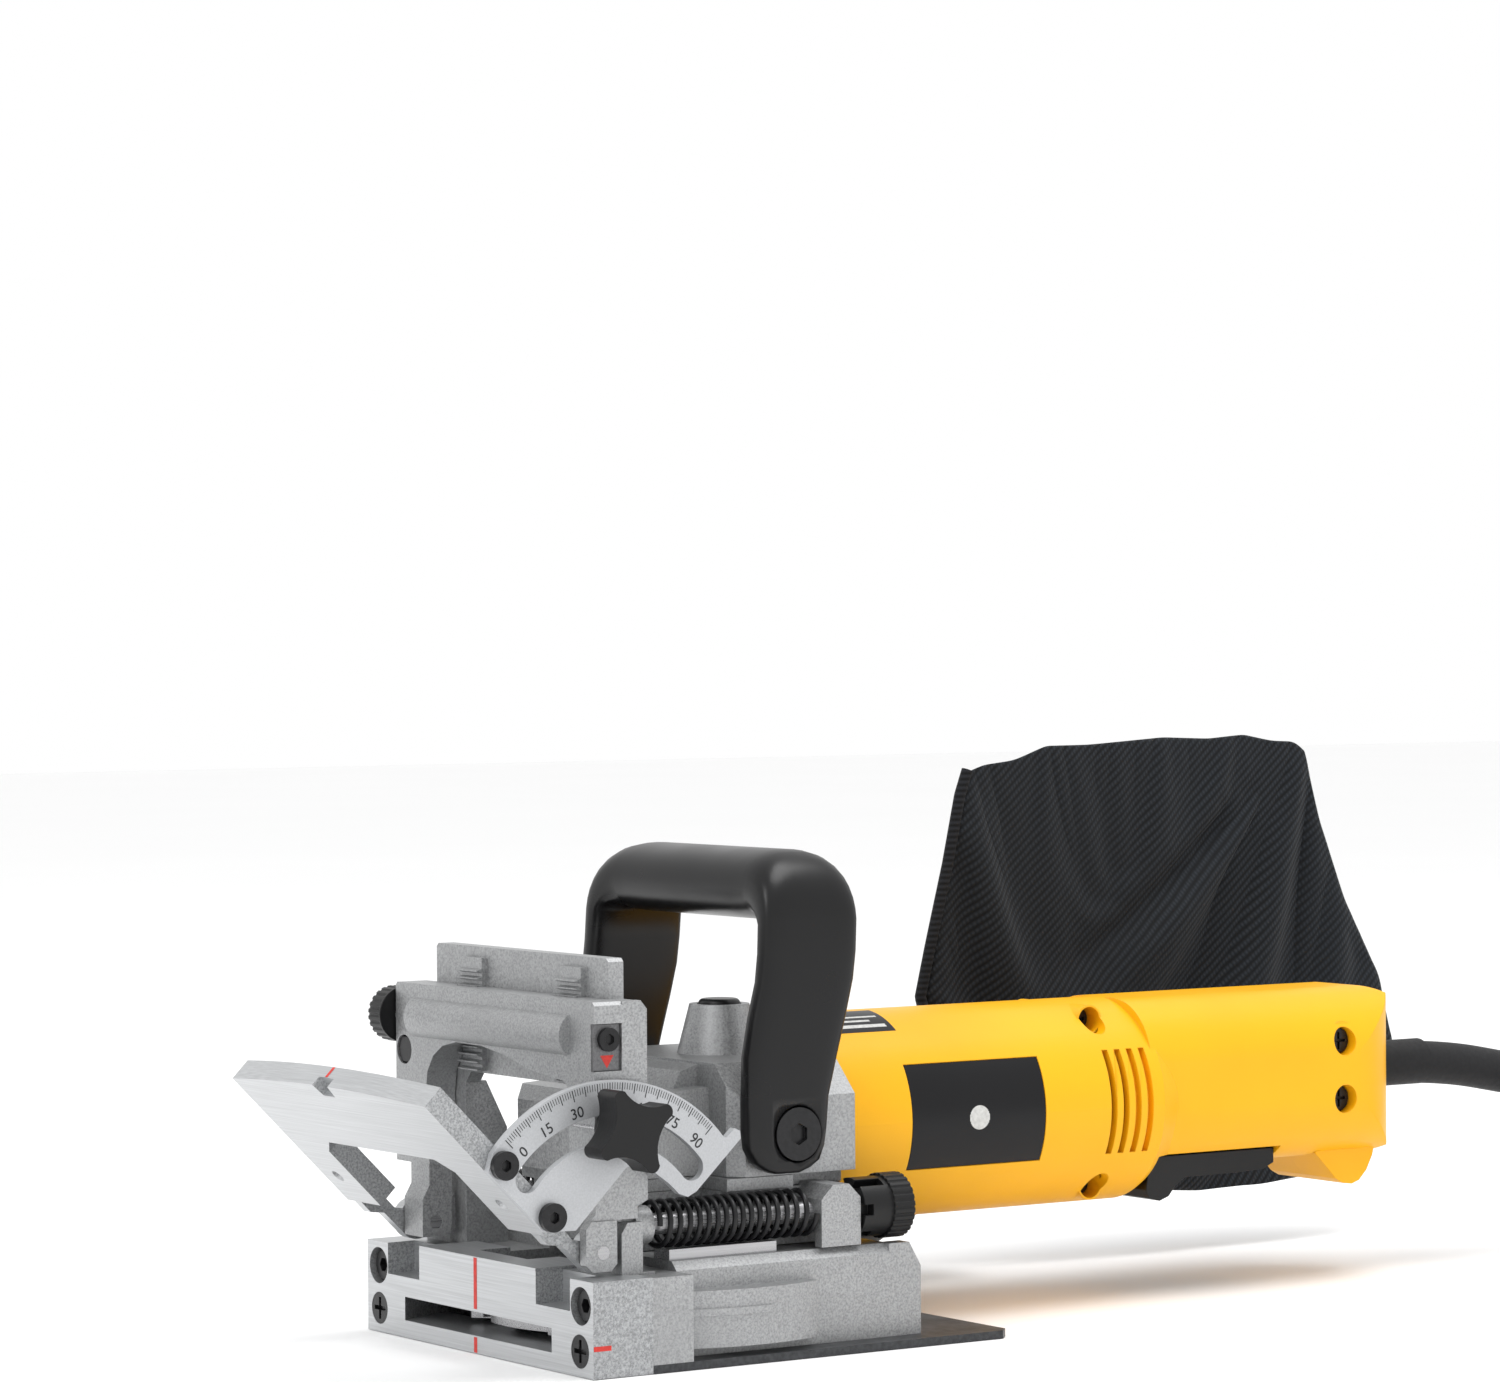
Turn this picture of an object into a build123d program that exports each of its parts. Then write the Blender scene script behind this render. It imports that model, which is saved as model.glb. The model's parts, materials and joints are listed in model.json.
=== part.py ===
"""Biscuit joiner: a base that rests on the work, a sprung motor slide that plunges
the cutter out of the front face, a fence carriage on two racks and a tilting fence.

Every piece is drawn in a working frame: X across, Y the distance behind the front
face, Z up from the sole. export() shifts it forward by CUTTER_SETBACK, so that the
row's origin lies on the sole, straight below the cutter's spindle.
"""
import math
import os

from build123d import *

# --- driving dimensions, mm -------------------------------------------------
CUTTER_SETBACK = 56.0        # spindle axis behind the front face
CUTTER_R, PLUNGE = 50.0, 26.0
CUTTER_Z = (6.4, 10.4)       # underside and top of the saw plate
BASE_HALF = 63.0             # half width of sole and front block
SOLE_THICK = 2.3
SOLE_REAR = 142.0
BLOCK_DEPTH = 19.4
HOUSING_TOP = 29.0
RAIL_X, RAIL_TOP = (42.2, 50.2), 32.0
ROD_X, ROD_Z, ROD_R = 47.0, 39.2, 3.0
SPRING_Y = (27.2, 81.8)
SPRING_R, SPRING_WIRE, SPRING_COILS = 6.2, 0.85, 17
RACK_MODULE, RACK_PINION_TEETH = 0.7, 12
PINION_Y, PINION_Z = 10.0, 92.6
RACK_X = (21.7, 32.9)
RACK_PLATE_Y = (17.0, 22.0)
RACK_TOP = 113.7
PIVOT_Y, PIVOT_Z = 9.0, 33.2
FENCE_HALF = 55.5
FENCE_N = (2.5, 9.5)         # back and front of the fence plate, from the pivot
FENCE_U = (18.4, 74.0)       # inner and outer edge of the fence plate
FENCE_REST_TILT = 45.0       # degrees the fence leans forward of upright at rest
QUADRANT_X = (55.6, 58.0)
QUADRANT_R, SLOT_R, SLOT_WIDTH = 48.0, 34.8, 7.5
MOTOR_Z, MOTOR_R = 60.5, 31.2
MOTOR_Y = (101.5, 224.0)
GRIP_Y = (222.0, 329.4)
GRIP_ROUND = 305.0           # where the grip's rounded end starts
GRIP_Z = (38.7, 91.5)
GRIP_HALF = 27.0
WALL = 2.6
GRIP_SCREWS = ((299.0, 75.6), (299.0, 57.6))
TRIGGER_PIN = (230.0, 40.5)
TRIGGER_Y, TRIGGER_TOP = (226.5, 277.6), 43.8
PANEL_R = MOTOR_R - 0.7      # floor of the label panels' recess
GEAR_TEETH, PINION_TEETH, BEVEL_MODULE = 33, 12, 1.0
CORD_R = 4.0
COIL_MEAN_R, COIL_SECTION = 44.0, 12.5
COIL_CENTRE = (66.0, 492.0)
FIT = 0.05                   # radial running clearance of a shaft


# --- drawing helpers --------------------------------------------------------
def block(x, y, z):
    """A box from three (low, high) pairs."""
    size = [high - low for low, high in (x, y, z)]
    centre = [(high + low) / 2 for low, high in (x, y, z)]
    return Pos(*centre) * Box(*size)


def bar_x(x, y, z, r):
    """A round bar along X between the two values of x."""
    return Pos((x[0] + x[1]) / 2, y, z) * Rot(0, 90, 0) * Cylinder(r, x[1] - x[0])


def bar_y(x, y, z, r):
    """A round bar along Y between the two values of y."""
    return Pos(x, (y[0] + y[1]) / 2, z) * Rot(90, 0, 0) * Cylinder(r, y[1] - y[0])


def bar_z(x, y, z, r):
    """A round bar along Z between the two values of z."""
    return Pos(x, y, (z[0] + z[1]) / 2) * Cylinder(r, z[1] - z[0])


def prism_x(outline, x):
    """A (y, z) outline extruded along X."""
    face = make_face(Polyline(*[(x[0], y, z) for y, z in outline], close=True))
    return extrude(face, amount=x[1] - x[0], dir=(1, 0, 0))


def prism_y(outline, y):
    """An (x, z) outline extruded along Y."""
    face = make_face(Polyline(*[(px, y[0], z) for px, z in outline], close=True))
    return extrude(face, amount=y[1] - y[0], dir=(0, 1, 0))


def prism_z(outline, z):
    """An (x, y) outline extruded along Z."""
    face = make_face(Polyline(*[(px, py, z[0]) for px, py in outline], close=True))
    return extrude(face, amount=z[1] - z[0], dir=(0, 0, 1))


def both(piece):
    """A piece and its mirror image across the middle plane."""
    return piece + mirror(piece, about=Plane.YZ)


def gather(pieces):
    """Separate solids of one node."""
    node = pieces[0]
    for piece in pieces[1:]:
        node += piece
    return node


def slotted(head, y, x, z, r):
    """Cuts a cross slot into a screw head that faces -Y."""
    for spread in ((r * 0.8, r * 0.16), (r * 0.16, r * 0.8)):
        head -= block((x - spread[0], x + spread[0]), (y - 1, y + r * 0.35), (z - spread[1], z + spread[1]))
    return head


def toothed_outline(teeth, pitch_r, add, ded, share, phase):
    """Corner points of a gear blank; share is the tooth's part of the pitch."""
    points = []
    step = 360 / teeth
    for tooth in range(teeth):
        middle = phase + tooth * step
        for radius, spread in ((pitch_r - ded, -0.62), (pitch_r + add, -0.28), (pitch_r + add, 0.28),
                               (pitch_r - ded, 0.62)):
            angle = math.radians(middle + spread * step * share)
            points.append((radius * math.cos(angle), radius * math.sin(angle)))
    return points


def on_fence(u, n):
    """A fence point at rest: u outward along the plate, n toward its face."""
    tilt = math.radians(FENCE_REST_TILT)
    y = PIVOT_Y - u * math.sin(tilt) - n * math.cos(tilt)
    z = PIVOT_Z + u * math.cos(tilt) - n * math.sin(tilt)
    return y, z


# --- base -------------------------------------------------------------------
def sole_screw_places():
    return [(-57.5, 29.0), (57.5, 29.0), (-50.5, 98.0), (50.5, 98.0)]


def sole_plate():
    plate = block((-BASE_HALF, BASE_HALF), (BLOCK_DEPTH, SOLE_REAR), (0, SOLE_THICK))
    plate = chamfer(plate.edges().filter_by(Axis.Z).group_by(Axis.Y)[-1], 3)
    for x, y in sole_screw_places():
        plate -= bar_z(x, y, (-1, SOLE_THICK + 1), 1.75)
        plate -= Pos(x, y, 0.8) * Cone(3.3, 1.75, 1.6)
    return plate


def sole_screws():
    screws = []
    for x, y in sole_screw_places():
        screw = Pos(x, y, 0.85) * Cone(3.1, 1.65, 1.5) + bar_z(x, y, (1.6, 9), 1.65)
        for turn in (0, 90):
            screw -= Pos(x, y, 0.1) * Rot(0, 0, turn) * Box(3.4, 0.7, 1.2)
        screws.append(screw)
    return gather(screws)


def front_block():
    outline = [(-BASE_HALF, 0), (BASE_HALF, 0), (BASE_HALF, 26.6), (32.5, 26.6), (32.5, 27.5), (-32.5, 27.5),
               (-32.5, 26.6), (-BASE_HALF, 26.6)]
    piece = prism_y(outline, (0, BLOCK_DEPTH))
    piece -= both(block((32.6, 50.9), (-1, 9), (17.6, 40)))
    piece -= both(block((34, 55), (16.8, BLOCK_DEPTH + 1), (24.5, 40)))
    reach = CUTTER_SETBACK - PLUNGE
    piece -= bar_z(0, reach, (5.0, 11.8), CUTTER_R + 0.8)
    piece -= bar_z(0, reach, (3.3, 15.5), 12.6)
    piece -= block((-13.5, 13.5), (9, BLOCK_DEPTH + 1), (11, 40))
    for x in (-56.5, 56.5):
        piece -= bar_y(x, (-1, 6.5), 19.5, 5.3)
        piece -= bar_y(x, (6, BLOCK_DEPTH + 1), 19.5, 2.6)
    for x in (-56, 56):
        piece -= bar_y(x, (-1, 12), 7, 4.7)
    return piece


def front_screws():
    screws = []
    for x in (-56.5, 56.5):
        screw = bar_y(x, (1.6, 6.45), 19.5, 4.3) + bar_y(x, (6.4, 31), 19.5, 2.5)
        hexagon = Pos(x, 1.6, 19.5) * Rot(90, 0, 0) * extrude(RegularPolygon(2.2, 6), amount=2.6, both=True)
        screws.append(screw - hexagon)
    return gather(screws)


def anti_slip_pin(x):
    pin = bar_y(x, (0.1, 9.5), 7, 4.7 - FIT)
    return slotted(pin, 0.1, x, 7, 4.0)


def blade_housing():
    shell = block((-54.5, 54.5), (32.6, 106), (SOLE_THICK, HOUSING_TOP))
    shell = chamfer(shell.edges().filter_by(Axis.Y).group_by(Axis.Z)[-1], 2.5)
    bulge = bar_z(0, CUTTER_SETBACK, (5, 21), 62) & block((-62, 62), (32.6, 78), (5, 21))
    rib = bar_z(0, CUTTER_SETBACK, (14, 16), 62.8) & block((-63, 63), (34, 60), (14, 16))
    flange = block((-BASE_HALF, BASE_HALF), (BLOCK_DEPTH, 32.7), (SOLE_THICK, 26.4))
    tail = both(prism_x([(105, SOLE_THICK), (116, SOLE_THICK), (116, 22), (112, HOUSING_TOP), (105, HOUSING_TOP)],
                        (49.5, 54.5)))
    deck = block((-50, 50), (105, 116), (SOLE_THICK, 12))
    piece = shell + bulge + rib + flange + tail + deck
    sweep = prism_z([(-52.4, BLOCK_DEPTH - 1), (52.4, BLOCK_DEPTH - 1), (52.4, CUTTER_SETBACK),
                     (-52.4, CUTTER_SETBACK)], (SOLE_THICK - 1, 15.5))
    piece -= sweep + bar_z(0, CUTTER_SETBACK, (SOLE_THICK - 1, 15.5), 52.4)
    piece -= block((-13.5, 13.5), (BLOCK_DEPTH - 1, 72), (15, 40))
    piece -= both(block(RAIL_X, (33, 69), (HOUSING_TOP - 0.5, 40)))
    piece -= both(block((34, 55), (BLOCK_DEPTH - 1, 26), (24.5, 40)))
    piece -= bar_y(-36, (80, 120), 15.5, 10.5)
    for x in (-56.5, 56.5):
        piece -= bar_y(x, (BLOCK_DEPTH - 1, 33.5), 19.5, 2.55)
    for x, y in sole_screw_places():
        piece -= bar_z(x, y, (SOLE_THICK - 1, 9.5), 1.7)
    return piece


def guide_rails():
    return both(block(RAIL_X, (33, 69), (HOUSING_TOP - 0.5, RAIL_TOP)))


def rack_teeth(x):
    """One rack: blank and teeth on its front, in mesh with the pinion at rest."""
    pitch = math.pi * RACK_MODULE
    root, tip = 15.2, 13.5
    z_low, z_high = 78.0, 110.7
    points = [(RACK_PLATE_Y[0], z_low), (root, z_low)]
    first = math.ceil((z_low - PINION_Z) / pitch + 0.5)
    last = math.floor((z_high - PINION_Z) / pitch - 0.5)
    for tooth in range(first, last + 1):
        middle = PINION_Z + (tooth + 0.5) * pitch - pitch
        for spread in (-0.64, -0.2):
            points.append((root if spread < -0.5 else tip, middle + spread))
        for spread in (0.2, 0.64):
            points.append((root if spread > 0.5 else tip, middle + spread))
    points += [(root, z_high), (RACK_PLATE_Y[0], z_high)]
    return prism_x(points, x)


def rack_frame():
    outline = [(-50.6, 26.4), (-34.5, 26.4), (-34.5, 73.6), (-31.4, 77.2), (31.4, 77.2), (34.5, 73.6), (34.5, 26.4),
               (50.6, 26.4), (50.6, 102.3), (44.6, 102.3), (44.6, RACK_TOP - 1), (43.6, RACK_TOP),
               (-49.6, RACK_TOP), (-50.6, RACK_TOP - 1)]
    piece = prism_y(outline, RACK_PLATE_Y)
    piece += both(rack_teeth(RACK_X))
    inner_rib = prism_x([(21.9, 26.4), (31, 26.4), (31, 60), (24, 74), (21.9, 74)], (34.5, 38.5))
    seat = bar_y(ROD_X, (21, 27), ROD_Z, 5.4)
    post = prism_x([(15, 26.6), (21.9, 26.6), (21.9, 41), (17, 41), (15, 38)], (41, 54))
    foot = block((34.5, 54), (17, 25.8), (24.6, 27))
    bores = bar_y(ROD_X, (18, 28), ROD_Z, ROD_R + 0.02)
    return piece + both(inner_rib + seat + post + foot) - both(bores)


def guide_rods():
    return both(bar_y(ROD_X, (18.2, 88), ROD_Z, ROD_R))


def spring(side):
    """A closed-ended coil spring along the guide rod: a stack of rings on a helix."""
    pitch = (SPRING_Y[1] - SPRING_Y[0] - 2 * SPRING_WIRE) / SPRING_COILS
    helix = Helix(pitch, pitch * SPRING_COILS, SPRING_R)
    wire = sweep(Plane(origin=helix @ 0, z_dir=helix % 0) * Circle(SPRING_WIRE), path=helix, is_frenet=True)
    wire = Pos(side * ROD_X, SPRING_Y[0] + SPRING_WIRE, ROD_Z) * Rot(-90, 0, 0) * wire
    return wire


def dust_spout():
    route = FilletPolyline((-36, 106.5, 15.5), (-36, 132, 15.5), (-60, 190, 33), (-62, 216, 48),
                           radius=[22, 30])
    start = Plane(origin=route @ 0, z_dir=route % 0)
    piece = sweep(start * Circle(12.6), path=route) - sweep(start * Circle(10.6), path=route)
    return piece - block((-60, -10), (100, 116.3), (0, 30))


def bag_collar():
    end = Plane(origin=(-62, 216, 48), z_dir=(-2, 26, 15))
    ring = Circle(16) - Circle(12.7)
    return extrude(end * ring, amount=-9)


def dust_bag():
    """A slack, flattened bag: wide at the hem, narrower and thinner at the top."""
    outline = [(219, 160), (246, 164), (366, 164), (385, 112), (404, 66), (398, 32), (378, 23), (300, 24),
               (252, 30), (221, 52), (213, 66), (211, 103)]
    core = prism_x(outline, (-92, -48))
    core = fillet(core.edges().filter_by(Axis.X), 8)
    return chamfer(core.faces().group_by(Axis.X)[0].edges() + core.faces().group_by(Axis.X)[-1].edges(), 7)


# --- fence carriage ---------------------------------------------------------
def fence_carriage():
    beam = [(-56.2, 102.4), (-57.2, 101.4), (-57.2, 50), (-38, 50), (-40, 70), (-39, 77), (-35.5, 82),
            (-30, 85.2), (-22, 86.8), (-8, 86.6), (6, 84.6), (18, 81.6), (30, 80.4), (38, 79.6), (40, 77), (40, 42),
            (53.5, 42), (53.5, 101.4), (52.5, 102.4)]
    piece = prism_y(beam, (6.8, 16.7))
    cheek_right = prism_x([(16, 42), (20.6, 42), (20.6, 45.4), (24, 47), (24, 100), (22, 102.4), (16, 102.4)],
                          (50.9, 53.5))
    lip_right = block((45, 51.5), (22.3, 24), (47, 100))
    cheek_left = prism_x([(16, 50), (24, 50), (24, 97.5), (22, 99.5), (16, 99.5)], (-53.5, -50.9))
    lip_left = block((-51.5, -45), (22.3, 24), (50, 97))
    piece += cheek_right + lip_right + cheek_left + lip_left
    piece += bar_x((-47, 40), PINION_Y, PINION_Z, 6.5)
    lug_left = prism_x([(4.5, 29), (13.6, 29), (14.4, 33), (14.4, 51), (6.8, 51), (6.8, 44), (4.5, 40)],
                       (-48.8, -38.2))
    lug_right = prism_x([(3.4, 30), (5.4, 28), (11.4, 28), (13.4, 30), (13.4, 44), (6.8, 44), (3.4, 40)],
                        (50.8, 54.2))
    lug_right -= block((53.5, 55), (0, 30), (42, 50))
    piece += lug_left + lug_right
    for side in (-1, 1):
        x = (min(side * 21.3, side * 33.3), max(side * 21.3, side * 33.3))
        piece -= block(x, (13.0, 20), (70, 120))
        piece -= bar_x(x, PINION_Y, PINION_Z, 5.3)
    piece -= bar_x((-60, 60), PINION_Y, PINION_Z, 3.0 + FIT)
    piece -= bar_x((-60, 60), PIVOT_Y, PIVOT_Z, 2.05)
    piece -= bar_y(-52.4, (6, 12), 82.8, 4.3)
    piece -= bar_x((40, 60), PIVOT_Y, PIVOT_Z + SLOT_R, 2.25)
    piece -= block((51.6, 54), (6.2, 15.8), (83.2, 96.4))
    return piece


def height_lock_nut():
    return Pos(-52.4, 9.6, 82.8) * Rot(90, 0, 0) * extrude(RegularPolygon(4.2, 6), amount=2.3, both=True)


def pointer_plate():
    plate = block((51.6, 52.6), (7.0, 15.6), (83.4, 96.2))
    return plate - bar_x((50, 55), 11.6, 92, 1.3)


def pointer_screw():
    screw = bar_x((52.6, 53.9), 11.6, 92, 3.3) + bar_x((51.65, 52.7), 11.6, 92, 1.25)
    return screw - Pos(53.9, 11.6, 92) * Rot(0, 90, 0) * extrude(RegularPolygon(1.6, 6), amount=0.9, both=True)


def hinge_pins():
    return gather([bar_x((-53.2, -38.3), PIVOT_Y, PIVOT_Z, 2.0), bar_x((46.4, 54.2), PIVOT_Y, PIVOT_Z, 2.0)])


def clamp_stud():
    z = PIVOT_Z + SLOT_R
    return bar_x((42, 70), PIVOT_Y, z, 2.2) + bar_x((55.7, 58.2), PIVOT_Y, z, SLOT_WIDTH / 2 - 0.1)


def height_shaft():
    shaft = bar_x((-63, 41), PINION_Y, PINION_Z, 3.0)
    outline = toothed_outline(RACK_PINION_TEETH, 4.2, 0.65, 0.95, 0.5, 90)
    for x in (-32.8, 21.8):
        face = make_face(Polyline(*[(x, PINION_Y + a, PINION_Z + b) for b, a in outline], close=True))
        shaft += extrude(face, amount=11.0, dir=(1, 0, 0))
    return shaft


def height_knob():
    knob = bar_x((-65, -57.9), PINION_Y, PINION_Z, 8.2)
    for index in range(24):
        angle = math.radians(index * 15)
        knob -= bar_x((-66, -58.6), PINION_Y + 8.4 * math.cos(angle), PINION_Z + 8.4 * math.sin(angle), 0.6)
    return knob - bar_x((-63, -50), PINION_Y, PINION_Z, 3.0)


def tilt_lock_knob():
    """A square knob with hollow sides, turned a little off level."""
    knob = Rot(-17, 0, 0) * Rot(0, 90, 0) * extrude(RectangleRounded(19.4, 19.4, 2.3), amount=9)
    for quarter in range(4):
        hollow = Rot(90 * quarter - 17, 0, 0) * bar_x((-1, 10), 19.4, 0, 12)
        knob -= hollow
    knob = Pos(63, PIVOT_Y, PIVOT_Z + SLOT_R) * knob
    collar = bar_x((58.3, 63.1), PIVOT_Y, PIVOT_Z + SLOT_R, 5.4)
    return knob + collar - bar_x((50, 71), PIVOT_Y, PIVOT_Z + SLOT_R, 2.2 + FIT)


# --- tilting fence ----------------------------------------------------------
def fence_prism(outline, x):
    """A (u, n) outline extruded along X."""
    return prism_x([on_fence(u, n) for u, n in outline], x)


def fence_plan(outline, n):
    """An (x, u) outline extruded through the plate from n[0] to n[1]."""
    points = [(px, *on_fence(u, n[0])) for px, u in outline]
    face = make_face(Polyline(*points, close=True))
    start, end = on_fence(0, 0), on_fence(0, 1)
    return extrude(face, amount=n[1] - n[0], dir=(0, end[0] - start[0], end[1] - start[1]))


def tilt_fence():
    inner, outer = FENCE_U
    bow = [(x, outer - 2.6 * (x / FENCE_HALF) ** 2) for x in (FENCE_HALF, 44, 33, 22, 11, 0, -11, -22, -33, -44,
                                                           -FENCE_HALF)]
    edge = [(-FENCE_HALF, inner), (FENCE_HALF, inner)] + bow
    piece = fence_plan(edge, FENCE_N)
    piece -= fence_plan([(-4.6, outer + 1), (-3.2, outer - 4.4), (3.2, outer - 4.4), (4.6, outer + 1)], (6.4, 12))
    window = [(-36, inner - 1), (36, inner - 1), (36, 42), (30, 46.7), (-30, 46.7), (-36, 42)]
    piece -= fence_plan(window, (0, 12))
    piece -= fence_plan([(-47, 51), (41, 51), (41, 66.5), (-47, 66.5)], (1, 6.8))
    for x in (46.3, -53.3):
        tongue = fence_prism([(-2.2, 5.5), (-2.2, 0), (3, -3), (5.6, 1), (8, 2.7), (20, 2.7), (20, 8.9),
                              (13, 8.9), (9.6, 6.1), (1, 5.9)], (x, x + 4))
        piece += tongue + bar_x((x, x + 4), PIVOT_Y, PIVOT_Z, 6.0)
        piece -= bar_x((x - 1, x + 5), PIVOT_Y, PIVOT_Z, 2.0 + FIT)
    for x in (-46.3, 46.3):
        start, end = on_fence(30, 8.2), on_fence(30, 10)
        dimple = Cone(0.6, 2.2, 2.6)
        piece -= Plane(origin=(x, *start), z_dir=(0, end[0] - start[0], end[1] - start[1])) * dimple
    for u, n in ((43.2, 5.4), (21.8, 5.4)):
        y, z = on_fence(u, n)
        piece -= bar_x((50.5, 60), y, z, 2.05)
    return piece


def angle_quadrant():
    """The scale plate: an arc slot and an outer scale edge, centred on the pivot."""
    outline = [(-37.5, 30.0), (-39.0, 25.0), (-21.4, 7.6), (-11.3, 7.4), (5.2, 23.7), (8.6, 24.2), (14, 22.0),
               (19, 18.4), (22.5, 15.2), (25.3, 14.2), (28.2, 15.6), (43, 29.4), (42.8, 31.6), (41.0, 32.4),
               (38.3, 29.9), (37.3, 30.2)]
    x0, x1 = QUADRANT_X
    start, end = (37.3, 30.2), (-37.5, 30.0)
    arc = ThreePointArc((x0, *start), (x0, 0, QUADRANT_R), (x0, *end))
    sides = Polyline(*[(x0, y, z) for y, z in outline])
    plate = extrude(make_face(sides + arc), amount=x1 - x0, dir=(1, 0, 0))
    slot_half = math.radians(50)
    tips = [(SLOT_R * math.sin(a), SLOT_R * math.cos(a)) for a in (-slot_half, slot_half)]
    band = bar_x((x0 - 1, x1 + 1), 0, 0, SLOT_R + SLOT_WIDTH / 2) - bar_x((x0 - 1, x1 + 1), 0, 0,
                                                                         SLOT_R - SLOT_WIDTH / 2)
    wedge = prism_x([(0, 0), (3 * tips[1][0], 3 * tips[1][1]), (3 * tips[0][0], 3 * tips[0][1])],
                    (x0 - 1, x1 + 1))
    slot = band & wedge
    for y, z in tips:
        slot += bar_x((x0 - 1, x1 + 1), y, z, SLOT_WIDTH / 2)
    plate = Pos(0, PIVOT_Y, PIVOT_Z) * (plate - slot)
    for u, n in ((43.2, 5.4), (21.8, 5.4)):
        y, z = on_fence(u, n)
        plate -= bar_x((x0 - 1, x1 + 1), y, z, 2.05)
    return plate


def quadrant_screws():
    screws = []
    for u, n in ((43.2, 5.4), (21.8, 5.4)):
        y, z = on_fence(u, n)
        head = bar_x((QUADRANT_X[1], QUADRANT_X[1] + 2), y, z, 4) + bar_x((51, 59), y, z, 2)
        head -= Pos(QUADRANT_X[1] + 2, y, z) * Rot(0, 90, 0) * extrude(RegularPolygon(1.7, 6), amount=1.4, both=True)
        screws.append(head)
    return gather(screws)


# --- motor slide ------------------------------------------------------------
def slide_foot():
    piece = block((-29.5, 29.5), (37, 57.5), (29.3, 45.7))
    piece += block((-39.6, 39.6), (57, 95.5), (29.3, 45.7)) + block((-37, 37), (95, 100), (29.3, 45.7))
    lug = prism_x([(82, 33.4), (95.5, 33.4), (95.5, 43), (91.5, 47), (86, 47), (82, 43)], (38, 54))
    skirt = block((50.6, 54), (82, 95.5), (29.4, 34))
    piece += both(lug + skirt)
    piece += bar_y(ROD_X, (95.4, 96), ROD_Z, 5)
    piece -= both(bar_y(ROD_X, (81, 100), ROD_Z, ROD_R + FIT))
    for z in ((30.5, 37.5), (38.5, 45.5)):
        piece -= bar_z(0, CUTTER_SETBACK, z, 11)
    piece -= bar_z(0, CUTTER_SETBACK, (29, 46), 8)
    piece -= block((-27, 27), (75, 97), (31.5, 46))
    return piece


def depth_turret():
    """A ring with stepped notches in its front edge, turning on a bush of the lug."""
    piece = bar_y(ROD_X, (96.2, 113), ROD_Z, 8.6) + bar_y(ROD_X, (106, 113), ROD_Z, 9.4)
    for index in range(28):
        angle = math.radians(index * 360 / 28)
        groove = bar_y(ROD_X + 9.6 * math.cos(angle), (105, 114), ROD_Z + 9.6 * math.sin(angle), 0.55)
        piece -= groove
    for index in range(6):
        notch = block((5.4, 10), (-1.6, 1.6), (-1.6, 1.6 + 1.1 * index))
        notch = Rot(0, 0, index * 60) * notch
        piece -= Pos(ROD_X, 97.4, ROD_Z) * Rot(-90, 0, 0) * notch
    piece -= bar_y(ROD_X, (95, 115), ROD_Z, 3.4)
    return piece


def gear_case_cover():
    piece = block((-29.5, 29.5), (33, 58), (45.9, 49.4)) + block((-42.5, 42.5), (57.5, 80), (45.9, 49.4))
    piece += block((-37.6, 37.6), (79, 100), (45.9, 49.4))
    return piece - bar_z(0, CUTTER_SETBACK, (45, 50), 19)


def gear_case():
    nose = prism_x([(29, 49.6), (60, 49.6), (60, 74.6), (33, 73), (29, 69)], (-30, 30))
    nose = chamfer(nose.edges().filter_by(Axis.Z).group_by(Axis.Y)[0], 5)
    hood = prism_x([(50, 72), (62, 72), (62, 81.5), (54, 79)], (-24, 24))
    main = prism_x([(59.5, 49.6), (101.3, 49.6), (101.3, 81.5), (59.5, 81.5)], (-43, 43))
    main = chamfer(main.edges().filter_by(Axis.Y).group_by(Axis.Z)[-1], 10)
    main = chamfer(main.faces().group_by(Axis.Y)[0].edges().filter_by(Axis.Z), 4)
    bump = Pos(0, 83, 81.2 + 7.3) * Cone(12.6, 8.8, 14.6)
    piece = nose + hood + main + bump
    piece -= bar_z(0, CUTTER_SETBACK, (49, 57), 19)
    piece -= bar_y(0, (52, 96), MOTOR_Z, 9.5)
    piece -= bar_y(0, (88, 103), MOTOR_Z, 27)
    piece -= bar_y(0, (79, 90), MOTOR_Z, 11)
    piece -= bar_z(0, 83, (72, 97), 4.3)
    piece -= bar_z(0, 83, (84.4, 97), 6.6)
    for x in (-44, 44):
        low, high = sorted((x, x * 0.72))
        piece -= bar_x((low, high), 77, 61.7, 3.05)
    return piece


def spindle_lock_button():
    head = bar_z(0, 83, (87.6, 97.3), 6.2)
    head = fillet(head.edges().group_by(Axis.Z)[-1], 1.6)
    return head + bar_z(0, 83, (76.4, 88), 2.8)


def bearing_ring(outer, inner, width):
    """A closed ball bearing, drawn as its two races and shields in one ring."""
    ring = Cylinder(outer, width) - Cylinder(inner, width + 1)
    groove = Cylinder(outer * 0.86, 0.6) - Cylinder(inner + (outer - inner) * 0.25, 0.7)
    return ring - Pos(0, 0, width / 2) * groove


def ball_bearings():
    spindle_ring = bearing_ring(10.95, 5.0 + FIT, 6.6)
    rings = [Pos(0, CUTTER_SETBACK, z) * spindle_ring for z in (34.0, 42.0)]
    rings.append(Pos(0, 84.5, MOTOR_Z) * Rot(90, 0, 0) * bearing_ring(10.9, 4.0 + FIT, 6.6))
    rings.append(Pos(0, 217, MOTOR_Z) * Rot(90, 0, 0) * bearing_ring(8, 4.0 + FIT, 6))
    return gather(rings)


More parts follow.
